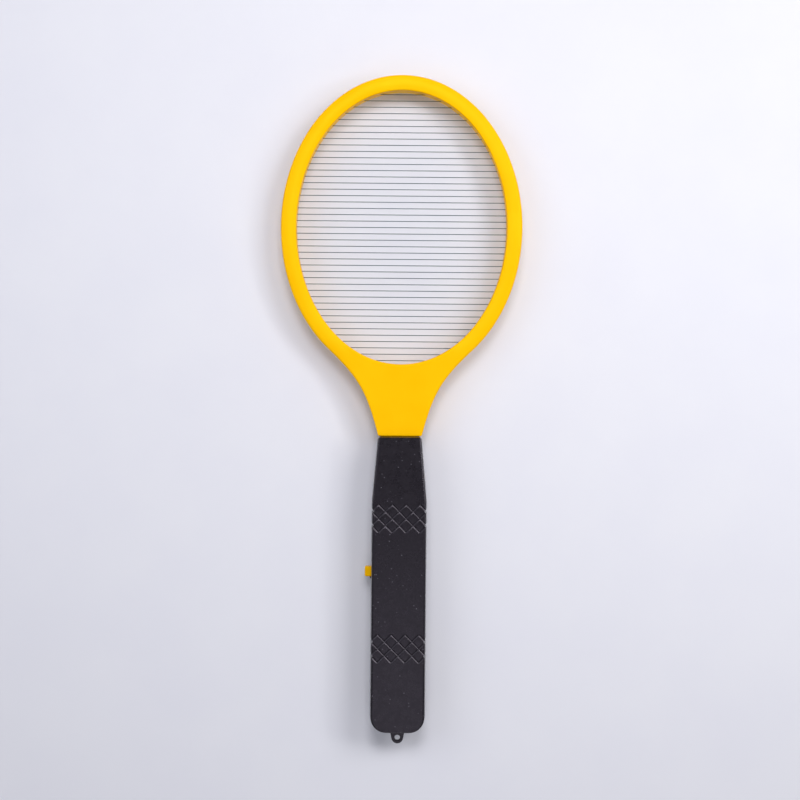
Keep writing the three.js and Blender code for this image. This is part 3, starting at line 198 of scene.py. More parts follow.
def corner_loop(corners, inset=0.0, steps=6):
    """A closed outline through (x, y, corner radius), anticlockwise, moved inwards by an inset."""
    points = []
    for i, (x, y, radius) in enumerate(corners):
        before = Vector(corners[i - 1][:2])
        after = Vector(corners[(i + 1) % len(corners)][:2])
        here = Vector((x, y))
        come = (here - before).normalized()
        leave = (after - here).normalized()
        in_a = Vector((-come.y, come.x))
        in_b = Vector((-leave.y, leave.x))
        corner = here + inset * (in_a + in_b) / (1 + in_a.dot(in_b))
        turn = come.angle(leave)
        bend = max(radius - inset, 0.03)
        reach = bend * math.tan(turn / 2)
        centre = corner - come * reach + in_a * bend
        start = math.atan2(-in_a.y, -in_a.x)
        for k in range(steps + 1):
            angle = start + turn * k / steps
            points.append((centre.x + bend * math.cos(angle), centre.y + bend * math.sin(angle)))
    return points


def plate(x0, x1, y0, y1, radius=0.3):
    """A rectangle's outline as a function of how far it is moved inwards."""
    corners = [(x1, y0, radius), (x1, y1, radius), (x0, y1, radius), (x0, y0, radius)]
    return lambda inset: corner_loop(corners, inset, 4)


def disc(x, y, radius, steps=32):
    """A circle's outline as a function of how far it is moved inwards."""
    turns = [2 * math.pi * k / steps for k in range(steps)]
    return lambda inset: [(x + (radius - inset) * math.cos(a), y + (radius - inset) * math.sin(a))
                          for a in turns]


def grip_outline(inset):
    shoulder = GRIP_TOP - SHOULDER_DROP
    held_low, held_high = [(1 - share) * inset for share in GRIP_END_SHARES]
    right = [
        (GRIP_HALF, GRIP_END - held_low, GRIP_END_CORNER),
        (GRIP_HALF, shoulder, SHOULDER_ROUND),
        (GRIP_TOP_HALF, GRIP_TOP + held_high, GRIP_TOP_CORNER),
    ]
    left = [(-x, y, radius) for x, y, radius in reversed(right)]
    return corner_loop(right + left, inset, 10)


def loop_outline(inset):
    centre_y = REAR_LOW.y + LOOP_RADIUS
    radius = LOOP_RADIUS - inset
    sweep = math.pi - 2 * LOOP_LEAN
    turns = [-LOOP_LEAN - sweep * k / 24 for k in range(25)]
    end = [(radius * math.cos(a), centre_y + radius * math.sin(a)) for a in turns]
    root = GRIP_END + GRIP_WALL / 2
    return [(LOOP_ROOT_HALF - inset, root), *end, (inset - LOOP_ROOT_HALF, root)][::-1]


# ------------------------------------------------------------------ solids


def link(name, mesh):
    piece = bpy.data.objects.new(name, mesh)
    bpy.context.scene.collection.objects.link(piece)
    return piece


def solid(name, rings, endless=False):
    """A closed skin over rings of equal length; an endless one joins its last ring to its first."""
    skin = bmesh.new()
    rows = [[skin.verts.new(Vector(point) * MM) for point in ring] for ring in rings]
    pairs = list(zip(rows, rows[1:]))
    if endless:
        pairs.append((rows[-1], rows[0]))
    else:
        skin.faces.new(rows[0])
        skin.faces.new(rows[-1])
    for lower, upper in pairs:
        for i, vertex in enumerate(lower):
            j = (i + 1) % len(lower)
            skin.faces.new((vertex, lower[j], upper[j], upper[i]))
    bmesh.ops.recalc_face_normals(skin, faces=skin.faces)
    mesh = bpy.data.meshes.new(name)
    skin.to_mesh(mesh)
    skin.free()
    return link(name, mesh)


def at(loop, z):
    return [(x, y, z) for x, y in loop]


def moulding(name, outline, low, high, round_low=(0, 0), round_high=(0, 0), steps=5):
    """A solid between two heights, its ends rounded by (across, up)."""
    rings = []
    for (across, up), end, way in ((round_low, low, 1), (round_high, high, -1)):
        turns = [math.pi / 2 * (1 - k / steps) for k in range(steps + 1)] if across else [0.0]
        rows = [at(outline(across * (1 - math.cos(a))), end + way * up * (1 - math.sin(a))) for a in turns]
        rings += rows if way > 0 else rows[::-1]
    return solid(name, rings)


def stack(name, outline, profile):
    """A solid through an outline moved inwards by each (inset, height) of a profile."""
    return solid(name, [at(outline(inset), z) for inset, z in profile])


def lathe(name, profile, origin, axis, steps=32):
    """A turned solid: (radius, distance along the axis) from one flat end to the other."""
    along = Vector(axis)
    side = along.orthogonal().normalized()
    other = along.cross(side)
    rings = []
    for radius, distance in profile:
        centre = Vector(origin) + along * distance
        rings.append([centre + radius * (side * math.cos(a) + other * math.sin(a))
                      for a in (2 * math.pi * k / steps for k in range(steps))])
    return solid(name, rings)


def gather(name, parts):
    """Several solids that don't touch, as one mesh."""
    skin = bmesh.new()
    for part in parts:
        skin.from_mesh(part.data)
        discard(part)
    mesh = bpy.data.meshes.new(name)
    skin.to_mesh(mesh)
    skin.free()
    return link(name, mesh)


def discard(piece):
    mesh = piece.data
    bpy.data.objects.remove(piece)
    bpy.data.meshes.remove(mesh)


def combine(piece, tool, operation):
    step = piece.modifiers.new(operation, "BOOLEAN")
    step.operation = operation
    step.solver = "EXACT"
    step.object = tool
    graph = bpy.context.evaluated_depsgraph_get()
    shaped = bpy.data.meshes.new_from_object(piece.evaluated_get(graph), depsgraph=graph)
    piece.modifiers.clear()
    rough = piece.data
    piece.data = shaped
    bpy.data.meshes.remove(rough)
    shaped.name = piece.name
    discard(tool)


def cut(piece, *tools):
    for tool in tools:
        combine(piece, tool, "DIFFERENCE")


def fuse(piece, *tools):
    for tool in tools:
        combine(piece, tool, "UNION")


def keep_within(piece, tool):
    combine(piece, tool, "INTERSECT")


def smooth(piece, degrees=34):
    """Curved faces shade smoothly, and wide flat ones keep their flatness up to the edge."""
    piece.data.shade_smooth()
    piece.data.set_sharp_from_angle(angle=math.radians(degrees))
    weigh = piece.modifiers.new("Flat faces stay flat", "WEIGHTED_NORMAL")
    weigh.keep_sharp = True


def bar(x0, x1, y0, y1, z0, z1, radius=0.3):
    return moulding("bar", plate(x0, x1, y0, y1, radius), z0, z1)


def hole(x, y, radius, low, high, steps=32):
    return moulding("hole", disc(x, y, radius, steps), low, high)


# ------------------------------------------------------------------ head


def ring_edge(angle):
    return Vector((RING_HALF_X * math.cos(angle), RING_Y + RING_HALF_Y * math.sin(angle)))


def neck_side():
    """The neck's right side, from the middle of its lower end up to where it leaves the ring."""
    join = -math.asin(NECK_JOIN_DROP / RING_HALF_Y)
    ring_point = ring_edge(join)
    ring_way = Vector((RING_HALF_X * math.sin(join), -RING_HALF_Y * math.cos(join))).normalized()
    corner = Vector((NECK_HALF, NECK_END))
    slant = Vector((math.sin(NECK_SLANT), math.cos(NECK_SLANT)))
    handles = (corner, corner + slant * NECK_PULLS[1], ring_point + ring_way * NECK_PULLS[0], ring_point)
    reach = NECK_CORNER * math.tan((math.pi / 2 - NECK_SLANT) / 2)
    first = corner - Vector((reach, 0))
    last = corner + slant * reach
    base = [Vector((first.x * k / 10, NECK_END)) for k in range(10)]
    rounded = [quadratic(first, corner, last, k / 6) for k in range(7)]
    rise = [cubic(handles, k / 44) for k in range(1, 44)]
    clear = 1.3 * reach  # keeps the rise's points off the rounded corner
    rise = [point for point in rise if (point - corner).length > clear]
    return base + rounded + rise, join


def quadratic(a, b, c, t):
    return a * (1 - t) ** 2 + b * (2 * t * (1 - t)) + c * t ** 2


def cubic(handles, t):
    a, b, c, d = handles
    return a * (1 - t) ** 3 + b * (3 * t * (1 - t) ** 2) + c * (3 * t ** 2 * (1 - t)) + d * t ** 3


def head_stations():
    """Places round the head: a point of its outer edge, one of the opening's edge, and both normals."""
    neck, join = neck_side()
    lengths = [0.0]
    for a, b in zip(neck, neck[1:]):
        lengths.append(lengths[-1] + (b - a).length)
    whole = lengths[-1] + (ring_edge(join) - neck[-1]).length
    right = [(point, -math.pi / 2 + (join + math.pi / 2) * length / whole)
             for point, length in zip(neck, lengths)]
    count = 92
    for k in range(count + 1):
        angle = join + (math.pi / 2 - join) * k / count
        right.append((ring_edge(angle), angle))
    left = [(Vector((-point.x, point.y)), math.pi - angle) for point, angle in right[-2:0:-1]]
    places = right + left
    stations = []
    for i, (point, angle) in enumerate(places):
        along = places[(i + 1) % len(places)][0] - places[i - 1][0]
        outward = Vector((along.y, -along.x)).normalized()
        inner = Vector((OPENING_X * math.cos(angle), RING_Y + OPENING_Y * math.sin(angle)))
        into_band = Vector((math.cos(angle) / OPENING_X, math.sin(angle) / OPENING_Y)).normalized()
        stations.append((point, outward, inner, into_band))
    return stations


def head_profile(station):
    """One cross-section of the front half, from the rim's foot over the face and back through the inside."""
    outer, outward, inner, into_band = station
    width = (outer - inner).length
    narrow = min(1.0, max(0.0, (CROWN_FADES[1] - width) / (CROWN_FADES[1] - CROWN_FADES[0])))
    crown = CROWN * narrow * narrow * (3 - 2 * narrow)
    up_neck = min(1.0, (outer.y - NECK_END) / NECK_ROUND_FADE)
    outer_round = NECK_END_ROUND + (OUTER_ROUND - NECK_END_ROUND) * up_neck
    slope = math.atan(4 * crown / (width - outer_round - INNER_ROUND))
    last = math.pi / 2 - slope
    edge_z = HEAD_FRONT - crown
    profile = []

    def rim(start, way, radius, turns):
        for turn in turns:
            inset = radius * (1 - math.cos(turn))
            z = edge_z - radius * (math.sin(last) - math.sin(turn))
            profile.append(((start + way * inset).to_tuple(), z))

    turns = [last * k / 6 for k in range(7)]
    profile.append(((outer - outward * PARTING_BEVEL).to_tuple(), FRONT_PARTING))
    profile.append((outer.to_tuple(), FRONT_PARTING + PARTING_BEVEL))
    rim(outer, -outward, outer_round, turns)
    near = Vector(profile[-1][0])
    far = inner + into_band * INNER_ROUND * (1 - math.cos(last))
    for k in range(1, 10):
        share = k / 10
        point = near.lerp(far, share)
        profile.append((point.to_tuple(), edge_z + crown * (1 - (2 * share - 1) ** 2)))
    rim(inner, into_band, INNER_ROUND, turns[::-1])
    profile.append((inner.to_tuple(), FRONT_PARTING + PARTING_BEVEL))
    profile.append(((inner + into_band * PARTING_BEVEL).to_tuple(), FRONT_PARTING))
    ceiling = HEAD_FRONT - FACE_WALL - HEAD_CEILING_DROP
    hidden_inner = inner + into_band * INNER_WALL
    hidden_outer = outer - outward * RIM_WALL
    for point, z in ((hidden_inner, FRONT_PARTING), (hidden_inner, ceiling),
                     (hidden_outer, ceiling), (hidden_outer, FRONT_PARTING)):
        profile.append((point.to_tuple(), z))
    return profile


def wire_y(index):
    return RING_Y + GRID_SHIFT + (index - (WIRE_COUNT - 1) / 2) * WIRE_PITCH


def opening_half(y, offset):
    share = (y - RING_Y) / (OPENING_Y + offset)
    return (OPENING_X + offset) * math.sqrt(1 - share * share)


def wire_passages():
    """Small round-ended openings in the ring's inner wall, one for each wire."""
    bars = []
    for i in range(WIRE_COUNT):
        y = wire_y(i)
        reach = opening_half(y, INNER_WALL + PASSAGE_OVERRUN)
        bars.append(lathe("passage", [(WIRE_PASSAGE, -reach), (WIRE_PASSAGE, reach)], (0, y, MID_Z),
                          (1, 0, 0), 12))
    return gather("passages", bars)


def screw_centres(prefix, count):
    return [middle(f"{prefix}_screw_{i + 1}") for i in range(count)]


def spigot_half(low, high):
    half, length, _ = SPIGOT
    return bar(-half, half, NECK_END - length, NECK_END + SPIGOT_ROOT, low, high)


def spigot_channel():
    half_x, half_z = SPIGOT_CHANNEL
    below, above = SPIGOT_CHANNEL_REACH
    return bar(-half_x, half_x, NECK_END - below, NECK_END + above, MID_Z - half_z, MID_Z + half_z)


def neck_bores():
    return [hole(place.x, place.y, NECK_BORE, 0, GRIP_FRONT, 20) for place in screw_centres("neck", 2)]


def head_shells():
    profiles = [head_profile(station) for station in head_stations()]
    rows = [[(x, y, z) for (x, y), z in profile] for profile in profiles]
    mirrored = [[(x, y, 2 * MID_Z - z) for x, y, z in row] for row in rows]
    front = solid("head_front", rows, endless=True)
    rear = solid("head_rear", mirrored, endless=True)
    fuse(front, spigot_half(FRONT_PARTING, MID_Z + SPIGOT[2] / 2))
    fuse(rear, spigot_half(MID_Z - SPIGOT[2] / 2, REAR_PARTING))
    radius, _, shank, clearance = SMALL_SCREW
    boss = shank + HEAD_BOSS_WALL
    seat = HEAD_BACK + HEAD_SEAT
    for place in screw_centres("head", 8):
        fuse(rear, hole(place.x, place.y, boss, HEAD_BACK + HEAD_BOSS_ROOT, REAR_PARTING, 28))
        fuse(front, hole(place.x, place.y, boss, FRONT_PARTING, HEAD_FRONT - HEAD_BOSS_ROOT, 28))
        cut(rear, hole(place.x, place.y, radius + clearance, 0, seat + clearance, 36))
        cut(rear, hole(place.x, place.y, shank + clearance, 0, MID_Z + 1, 24))
        cut(front, hole(place.x, place.y, shank + clearance, 0, seat + HEAD_BORE_DEPTH, 24))
    for shell in (front, rear):
        cut(shell, wire_passages(), spigot_channel(), *neck_bores())
        smooth(shell)
    return front, rear


# ------------------------------------------------------------------ grid


def strip_skin(side):
    end = math.acos(STRIP_END_X / (OPENING_X + STRIP_OFFSET))
    rings = []
    low = MID_Z - STRIP_THICKNESS / 2
    high = MID_Z + STRIP_THICKNESS / 2
    count = 80
    for k in range(count + 1):
        angle = -end + 2 * end * k / count
        across = Vector((math.cos(angle), math.sin(angle)))
        inner = Vector(((OPENING_X + STRIP_OFFSET) * across.x, (OPENING_Y + STRIP_OFFSET) * across.y))
        reach = STRIP_OFFSET + STRIP_WIDTH
        outer = Vector(((OPENING_X + reach) * across.x, (OPENING_Y + reach) * across.y))
        rings.append([(side * p.x, RING_Y + p.y, z)
                      for p, z in ((inner, low), (outer, low), (outer, high), (inner, high))])
    return solid("strip", rings)


def comb(name, side, first):
    wires = []
    for i in range(first, WIRE_COUNT, 2):
        y = wire_y(i)
        joined = side * opening_half(y, STRIP_OFFSET + WIRE_IN_STRIP * STRIP_WIDTH)
        free = -side * opening_half(y, INNER_WALL + WIRE_FREE_END)
        left, right = sorted((joined, free))
        tip = WIRE_RADIUS - WIRE_END_ROUND
        profile = [(tip, left), (WIRE_RADIUS, left + WIRE_END_ROUND),
                   (WIRE_RADIUS, right - WIRE_END_ROUND), (tip, right)]
        wires.append(lathe("wire", profile, (0, y, MID_Z), (1, 0, 0), 16))
    piece = gather(name, wires)
    fuse(piece, strip_skin(side))
    smooth(piece, 40)
    return piece


# ------------------------------------------------------------------ handle


def grip_profile(parting, face):
    """Inset and height from the parting plane over the side and its rounded edge to the face."""
    way = math.copysign(1, face - parting)
    across, down = GRIP_EDGE
    bevel_across, bevel_down = GRIP_BEVEL
    profile = [(PARTING_BEVEL, parting), (0.0, parting + way * PARTING_BEVEL),
               (0.0, parting + way * GRIP_STRAIGHT)]
    last = math.atan2(down * bevel_across, across * bevel_down)  # where the rounding meets the bevel
    for k in range(9):
        turn = last * k / 8
        inset = GRIP_DRAFT + across * (1 - math.cos(turn))
        profile.append((inset, face - way * (bevel_down + down * (math.sin(last) - math.sin(turn)))))
    for share in (BEVEL_LIP, 1 - BEVEL_LIP, 1.0):
        profile.append((inset + bevel_across * share, face - way * bevel_down * (1 - share)))
    return profile


def groove(start, end, z, outward):
    """A cutter along a line of the face at z: a V with rounded lips."""
    a = Vector((*start, z))
    b = Vector((*end, z))
    across = (b - a).normalized().cross(Vector((0, 0, 1)))
    section = [(half, -depth) for half, depth in GROOVE_LIPS]
    section += [(-half, rise) for half, rise in section[-2::-1]]
    rings = [[point + across * side + Vector((0, 0, outward * rise)) for side, rise in section]
             for point in (a, b)]
    return solid("groove", rings)


def cut_band(piece, top_y, z, outward):
    """Crossed grooves, two diamonds high, over the whole width."""
    slant = 2 * BAND_PERIOD / BAND_HEIGHT
    shortest = 1.5
    for lean in (-1, 1):
        lines = []
        for k in range(-4, 4):
            peak = (k + 0.5) * BAND_PERIOD
            start = max(0.0, (-lean * peak - GRIP_HALF) / slant)
            stop = min(BAND_HEIGHT, (GRIP_HALF - lean * peak) / slant)
            if stop - start > shortest:
                lines.append(groove((peak + lean * slant * start, top_y - start),
                                    (peak + lean * slant * stop, top_y - stop), z, outward))
        cut(piece, gather("grooves", lines))


def side_notches():
    """V notches where the grooves run round the handle's sides."""
    notches = []
    for top_y in BAND_TOPS:
        for share in NOTCH_SHARES:
            y = top_y - share * BAND_HEIGHT
            for side in (-1, 1):
                tip = side * (GRIP_HALF - NOTCH_DEPTH)
                mouth = side * (GRIP_HALF + NOTCH_DEPTH)
                deep, wide = NOTCH_HALVES
                loop = [(tip, y - deep), (mouth, y - wide), (mouth, y + wide), (tip, y + deep)]
                notches.append(solid("notch", [at(loop, -1), at(loop, GRIP_FRONT + 1)]))
    return gather("notches", notches)


def neck_passage():
    half, _, thickness = SPIGOT
    gap = 0.3
    return bar(-half - gap, half + gap, GRIP_TOP - 3.3, GRIP_TOP + 2,
               MID_Z - thickness / 2 - gap, MID_Z + thickness / 2 + gap, 0.6)


# Turns a solid drawn in (y, z) and raised along a third axis so that it points along -X.
TO_LEFT = Matrix(((0, 0, -1, 0), (1, 0, 0, 0), (0, 1, 0, 0), (0, 0, 0, 1)))


def button_passage():
    half_y = BUTTON_HALF_Y + BUTTON_ROOM
    half_z = BUTTON_HALF_Z + BUTTON_ROOM
    outline = plate(BUTTON_Y - half_y, BUTTON_Y + half_y, MID_Z - half_z, MID_Z + half_z, 0.9)
    passage = moulding("passage", outline, GRIP_HALF - 3, GRIP_HALF + 3)
    passage.data.transform(TO_LEFT)
    return passage


def cavity(parting, end):
    """The hollow of one half, its sides leaning in like the outside."""
    return stack("cavity", grip_outline, [(GRIP_WALL, parting), (GRIP_WALL + GRIP_DRAFT, end)])


def handle_front():
    piece = stack("handle_front", grip_outline, grip_profile(FRONT_PARTING, GRIP_FRONT))
    ceiling = GRIP_FRONT - GRIP_WALL
    cut(piece, cavity(MID_Z - 1, ceiling))
    root = ceiling + BOSS_ROOT
    _, _, shank, clearance = LARGE_SCREW
    long_bosses = [(place, FRONT_PARTING, HANDLE_BORE_TOPS[0]) for place in screw_centres("handle", 4)]
    short_bosses = [(place, MID_Z + SPIGOT_ROOM, HANDLE_BORE_TOPS[1]) for place in screw_centres("neck", 2)]
    for place, foot, bore_top in long_bosses + short_bosses:
        fuse(piece, hole(place.x, place.y, shank + HANDLE_BOSS_WALL, foot, root, 28))
        cut(piece, hole(place.x, place.y, shank + clearance, 0, bore_top, 24))
    low, high = span("battery_1")
    cell_top = high.z + 0.3
    half_rib = RIB_THICKNESS / 2
    fuse(piece, bar(-half_rib, half_rib, low.y, high.y - 2, FRONT_PARTING + 0.6, root))
    rib_end = GRIP_HALF - RIB_SHORTER
    for share in RIB_SHARES:
        y = low.y + share * CELL_LENGTH
        fuse(piece, bar(-rib_end, rib_end, y, y + RIB_THICKNESS, cell_top, root))
    cut(piece, side_notches(), neck_passage(), button_passage())
    for top_y in BAND_TOPS:
        cut_band(piece, top_y, GRIP_FRONT, 1)
    smooth(piece)
    return piece


def cover_opening(grow, edge=0.0):
    """The cover's plate and the tongue behind the opening's lips, grown by the gap round them."""
    top = COVER_TOP + grow
    tongue_top = COVER_HIGH.z + grow
    tongue_half = COVER_HIGH.x + grow
    low_y = GRIP_END - 5
    half = COVER_HALF + grow
    foot = 0 if edge else -1
    body = moulding("opening", plate(-half, half, low_y, top, COVER_CORNER), foot, tongue_top, (edge, edge))
    tongue_low = COVER_HIGH.z - COVER_TONGUE - grow
    fuse(body, bar(-tongue_half, tongue_half, low_y, top + 1.6, tongue_low, tongue_top))
    return body


def hanging_loop():
    low = REAR_PARTING - LOOP_THICKNESS
    edge = (LOOP_EDGE, LOOP_EDGE)
    piece = moulding("loop", loop_outline, low, REAR_PARTING, edge, edge, 4)
    centre_y = REAR_LOW.y + LOOP_RADIUS
    beyond = 0.5
    mouth = LOOP_HOLE + LOOP_FLARE + beyond
    profile = [(mouth, low - beyond), (LOOP_HOLE, low + LOOP_FLARE),
               (LOOP_HOLE, REAR_PARTING - LOOP_FLARE), (mouth, REAR_PARTING + beyond)]
    cut(piece, lathe("eye", profile, (0, centre_y, 0), (0, 0, 1), 36))
    return piece


def button_guard():
    """A small rib under the button that keeps the thumb from pushing it sideways."""
    y = BUTTON_Y - BUTTON_HALF_Y - BUTTON_ROOM
    loop = [(-GRIP_HALF + 0.3, y - 2.2), (-GRIP_HALF + 0.3, y), (-GRIP_HALF - 1.2, y)]
    return solid("guard", [at(loop, MID_Z - BUTTON_HALF_Z), at(loop, REAR_PARTING)])


def handle_rear():
    piece = stack("handle_rear", grip_outline, grip_profile(REAR_PARTING, 0))
    cut(piece, cavity(MID_Z + 1, GRIP_WALL))
    fuse(piece, hanging_loop(), button_guard())
    radius, _, shank, clearance = LARGE_SCREW
    deep = [(place, HANDLE_SEATS[0], REAR_PARTING) for place in screw_centres("handle", 4)]
    shallow = [(place, HANDLE_SEATS[1], MID_Z - SPIGOT_ROOM) for place in screw_centres("neck", 2)]
    for place, seat, top in deep + shallow:
        fuse(piece, hole(place.x, place.y, radius + HANDLE_BOSS_WALL, REAR_BOSS_ROOT, top, 36))
        cut(piece, hole(place.x, place.y, radius + clearance, -1, seat + clearance, 40))
        cut(piece, hole(place.x, place.y, shank + clearance, -1, top + 1, 24))
    board_low, board_high = span("circuit_board")
    post, pin = BOARD_POST
    for x in (board_low.x + BOARD_POST_INSET, board_high.x - BOARD_POST_INSET):
        for y in (board_low.y + BOARD_POST_INSET, board_high.y - BOARD_POST_INSET):
            fuse(piece, hole(x, y, post, BOSS_ROOT, board_low.z, 24))
            fuse(piece, hole(x, y, pin, 2 * BOSS_ROOT, board_high.z + 1, 20))
    shelf = span("contact_positive")[1].y + 0.3
    shelf_inset, shelf_thickness = SHELF
    shelf_end = GRIP_HALF - shelf_inset
    fuse(piece, bar(-shelf_end, shelf_end, shelf, shelf + shelf_thickness, COVER_HIGH.z + 0.3, REAR_PARTING))
    cut(piece, side_notches(), neck_passage(), button_passage(), cover_opening(COVER_GAP))
    cut_band(piece, BAND_TOPS[0], 0, -1)
    smooth(piece)
    return piece


def battery_cover():
    piece = stack("battery_lid", grip_outline, grip_profile(REAR_PARTING, 0))
    keep_within(piece, cover_opening(0, edge=COVER_EDGE))
    count, first, pitch = THUMB_GROOVES
    half_x, half_y, depth = THUMB_GROOVE
    for line in range(count):
        y = COVER_TOP - first - pitch * line
        outline = plate(-half_x, half_x, y - half_y, y + half_y, 0.55)
        cut(piece, moulding("thumb_groove", outline, -1, depth))
    smooth(piece)
    return piece


def button_outline(reach, radius):
    half_y = BUTTON_HALF_Y + reach
    half_z = BUTTON_HALF_Z + reach
    return plate(BUTTON_Y - half_y, BUTTON_Y + half_y, MID_Z - half_z, MID_Z + half_z, radius)


def button():
    tip = -BUTTON_LOW.x
    flange_outer = GRIP_HALF - GRIP_WALL - 0.3
    sunk = 0.6
    outline = button_outline(0, BUTTON_CORNER)
    cap = moulding("button", outline, flange_outer - sunk, tip, (0, 0), BUTTON_EDGE, 6)
    thickness, reach = BUTTON_FLANGE
    flange = moulding("flange", button_outline(reach, 0.6), flange_outer - thickness, flange_outer)
    stem = moulding("stem", disc(BUTTON_Y, MID_Z, BUTTON_STEM, 28), -BUTTON_HIGH.x, flange_outer - 0.5)
    for part in (cap, flange, stem):
        part.data.transform(TO_LEFT)
    fuse(cap, flange, stem)
    smooth(cap)
    return cap


# ------------------------------------------------------------------ screws, cells, springs


def screw(name, node, size):
    """A pan head with a cross recess, seen from the back, and its shank."""
    radius, height, shank, _ = size
    low, high = span(node)
    x = (low.x + high.x) / 2
    y = (low.y + high.y) / 2
    crown = 0.35 * height
    profile = [(0.25 * radius, low.z), (0.6 * radius, low.z + 0.12 * crown),
               (0.85 * radius, low.z + 0.5 * crown), (radius, low.z + 1.3 * crown),
               (radius, low.z + height), (shank, low.z + height), (shank, high.z - 1),
               (0.4 * shank, high.z)]
    piece = lathe(name, profile, (x, y, 0), (0, 0, 1), 36)
    reach = 0.55 * radius
    half = 0.13 * radius
    depth = 0.62 * height
    for a, b in ((reach, half), (half, reach)):
        top = plate(x - a, x + a, y - b, y + b, 0.02)
        rings = [at(top(0), low.z - 0.5), at(top(0), low.z), at(top(0.5 * half), low.z + depth)]
        cut(piece, solid("recess", rings))
    smooth(piece)
    return piece


def cell(name, node, nub_up):
    low, high = span(node)
    radius = (high.x - low.x) / 2
    length = high.y - low.y
    shoulder = length - 1.2
    foot = [(radius - 0.9, 0.0), (radius - 0.5, 0.05), (radius - 0.12, 0.3), (radius, 0.7)]
    rim = [(radius, shoulder - 0.9), (radius - 0.15, shoulder - 0.35), (radius - 0.6, shoulder),
           (radius - 1.3, shoulder), (radius - 1.5, shoulder - 0.25)]
    nub = [(3.1, shoulder - 0.25), (2.75, shoulder), (2.7, length - 0.3), (2.3, length)]
    start = low.y if nub_up else high.y
    way = 1 if nub_up else -1
    origin = ((low.x + high.x) / 2, start, (low.z + high.z) / 2)
    piece = lathe(name, foot + rim + nub, origin, (0, way, 0), 56)
    smooth(piece)
    return piece


def spring(name, node):
    """A coiled wire that rises evenly from one end to the other."""
    low, high = span(node)
    wire = 0.4
    centre = (low + high) / 2
    radius = (high.z - low.z) / 2 - wire
    turns = 3.5
    count = 112
    rings = []
    for k in range(count + 1):
        share = k / count
        angle = 2 * math.pi * turns * share
        rise = low.y + wire + (high.y - low.y - 2 * wire) * share
        outward = Vector((math.cos(angle), 0, math.sin(angle)))
        point = Vector((centre.x, rise, centre.z)) + outward * radius
        rings.append([point + wire * (outward * math.cos(a) + Vector((0, 1, 0)) * math.sin(a))
                      for a in (2 * math.pi * j / 10 for j in range(10))])
    piece = solid(name, rings)
    smooth(piece, 50)
    return piece


# ------------------------------------------------------------------ finishes


def colour(code):
    """An sRGB hex colour as linear RGBA."""
    channels = [int(code[i:i + 2], 16) / 255 for i in (0, 2, 4)]
    linear = [c / 12.92 if c <= 0.04045 else ((c + 0.055) / 1.055) ** 2.4 for c in channels]
    return (*linear, 1.0)


def per_metre(size_mm):
    """The scale that makes a pattern's features a given number of millimetres wide."""
    return 1000.0 / size_mm


def add(tree, kind, settings=None, links=None):
    """Adds a node, sets its properties, and fills its inputs with values or with other nodes' outputs."""
    made = tree.nodes.new(kind)
    for key, value in (settings or {}).items():
        setattr(made, key, value)
    for key, value in (links or {}).items():
        if isinstance(value, bpy.types.NodeSocket):
            tree.links.new(value, made.inputs[key])
        else:
            made.inputs[key].default_value = value
    return made


RGBA_MIX = {"data_type": "RGBA"}


def finish(name, first, second, cloud_mm, grain_mm, grain_depth_mm, roughness,
           metallic=0.0, ior=1.5, stretch=(1, 1, 1), pattern=None, specks=None, coat=0.0, sheen="ffffff"):
    """A finish made of two close colours in soft clouds, a fine grain that lifts and dulls the surface,
    and, where asked, a pattern over the colour and scattered specks."""
    material = bpy.data.materials.new(name)
    material.use_nodes = True
    tree = material.node_tree
    tree.nodes.clear()
    place = add(tree, "ShaderNodeTexCoord").outputs["Object"]
    drawn = add(tree, "ShaderNodeMapping", {}, {"Vector": place, "Scale": stretch}).outputs[0]
    cloud = add(tree, "ShaderNodeTexNoise", {}, {
        "Vector": place, "Scale": per_metre(cloud_mm), "Detail": 3.0})
    share = add(tree, "ShaderNodeMapRange", {}, {
        "Value": cloud.outputs["Fac"], "From Min": 0.35, "From Max": 0.65})
    tone = add(tree, "ShaderNodeMix", RGBA_MIX, {
        0: share.outputs[0], 6: colour(first), 7: colour(second)}).outputs[2]
    if pattern:
        tone = pattern(tree, place, tone)
    if specks:
        tone = scattered(tree, place, tone, *specks)
    grain = add(tree, "ShaderNodeTexNoise", {}, {
        "Vector": drawn, "Scale": per_metre(grain_mm), "Detail": 4.0, "Roughness": 0.6})
    patches = add(tree, "ShaderNodeTexNoise", {}, {
        "Vector": drawn, "Scale": per_metre(grain_mm * 6), "Detail": 3.0})
    shine = add(tree, "ShaderNodeMapRange", {}, {
        "Value": patches.outputs["Fac"], "From Min": 0.3, "From Max": 0.7,
        "To Min": roughness[0], "To Max": roughness[1]})
    relief = add(tree, "ShaderNodeBump", {}, {
        "Strength": 1.0, "Distance": grain_depth_mm * MM, "Height": grain.outputs["Fac"]})
    shader = add(tree, "ShaderNodeBsdfPrincipled", {}, {
        "Base Color": tone, "Roughness": shine.outputs[0], "Metallic": metallic, "IOR": ior,
        "Normal": relief.outputs[0], "Coat Weight": coat, "Coat Roughness": 0.08,
        "Specular Tint": colour(sheen)})
    add(tree, "ShaderNodeOutputMaterial", {}, {"Surface": shader.outputs[0]})
    return material


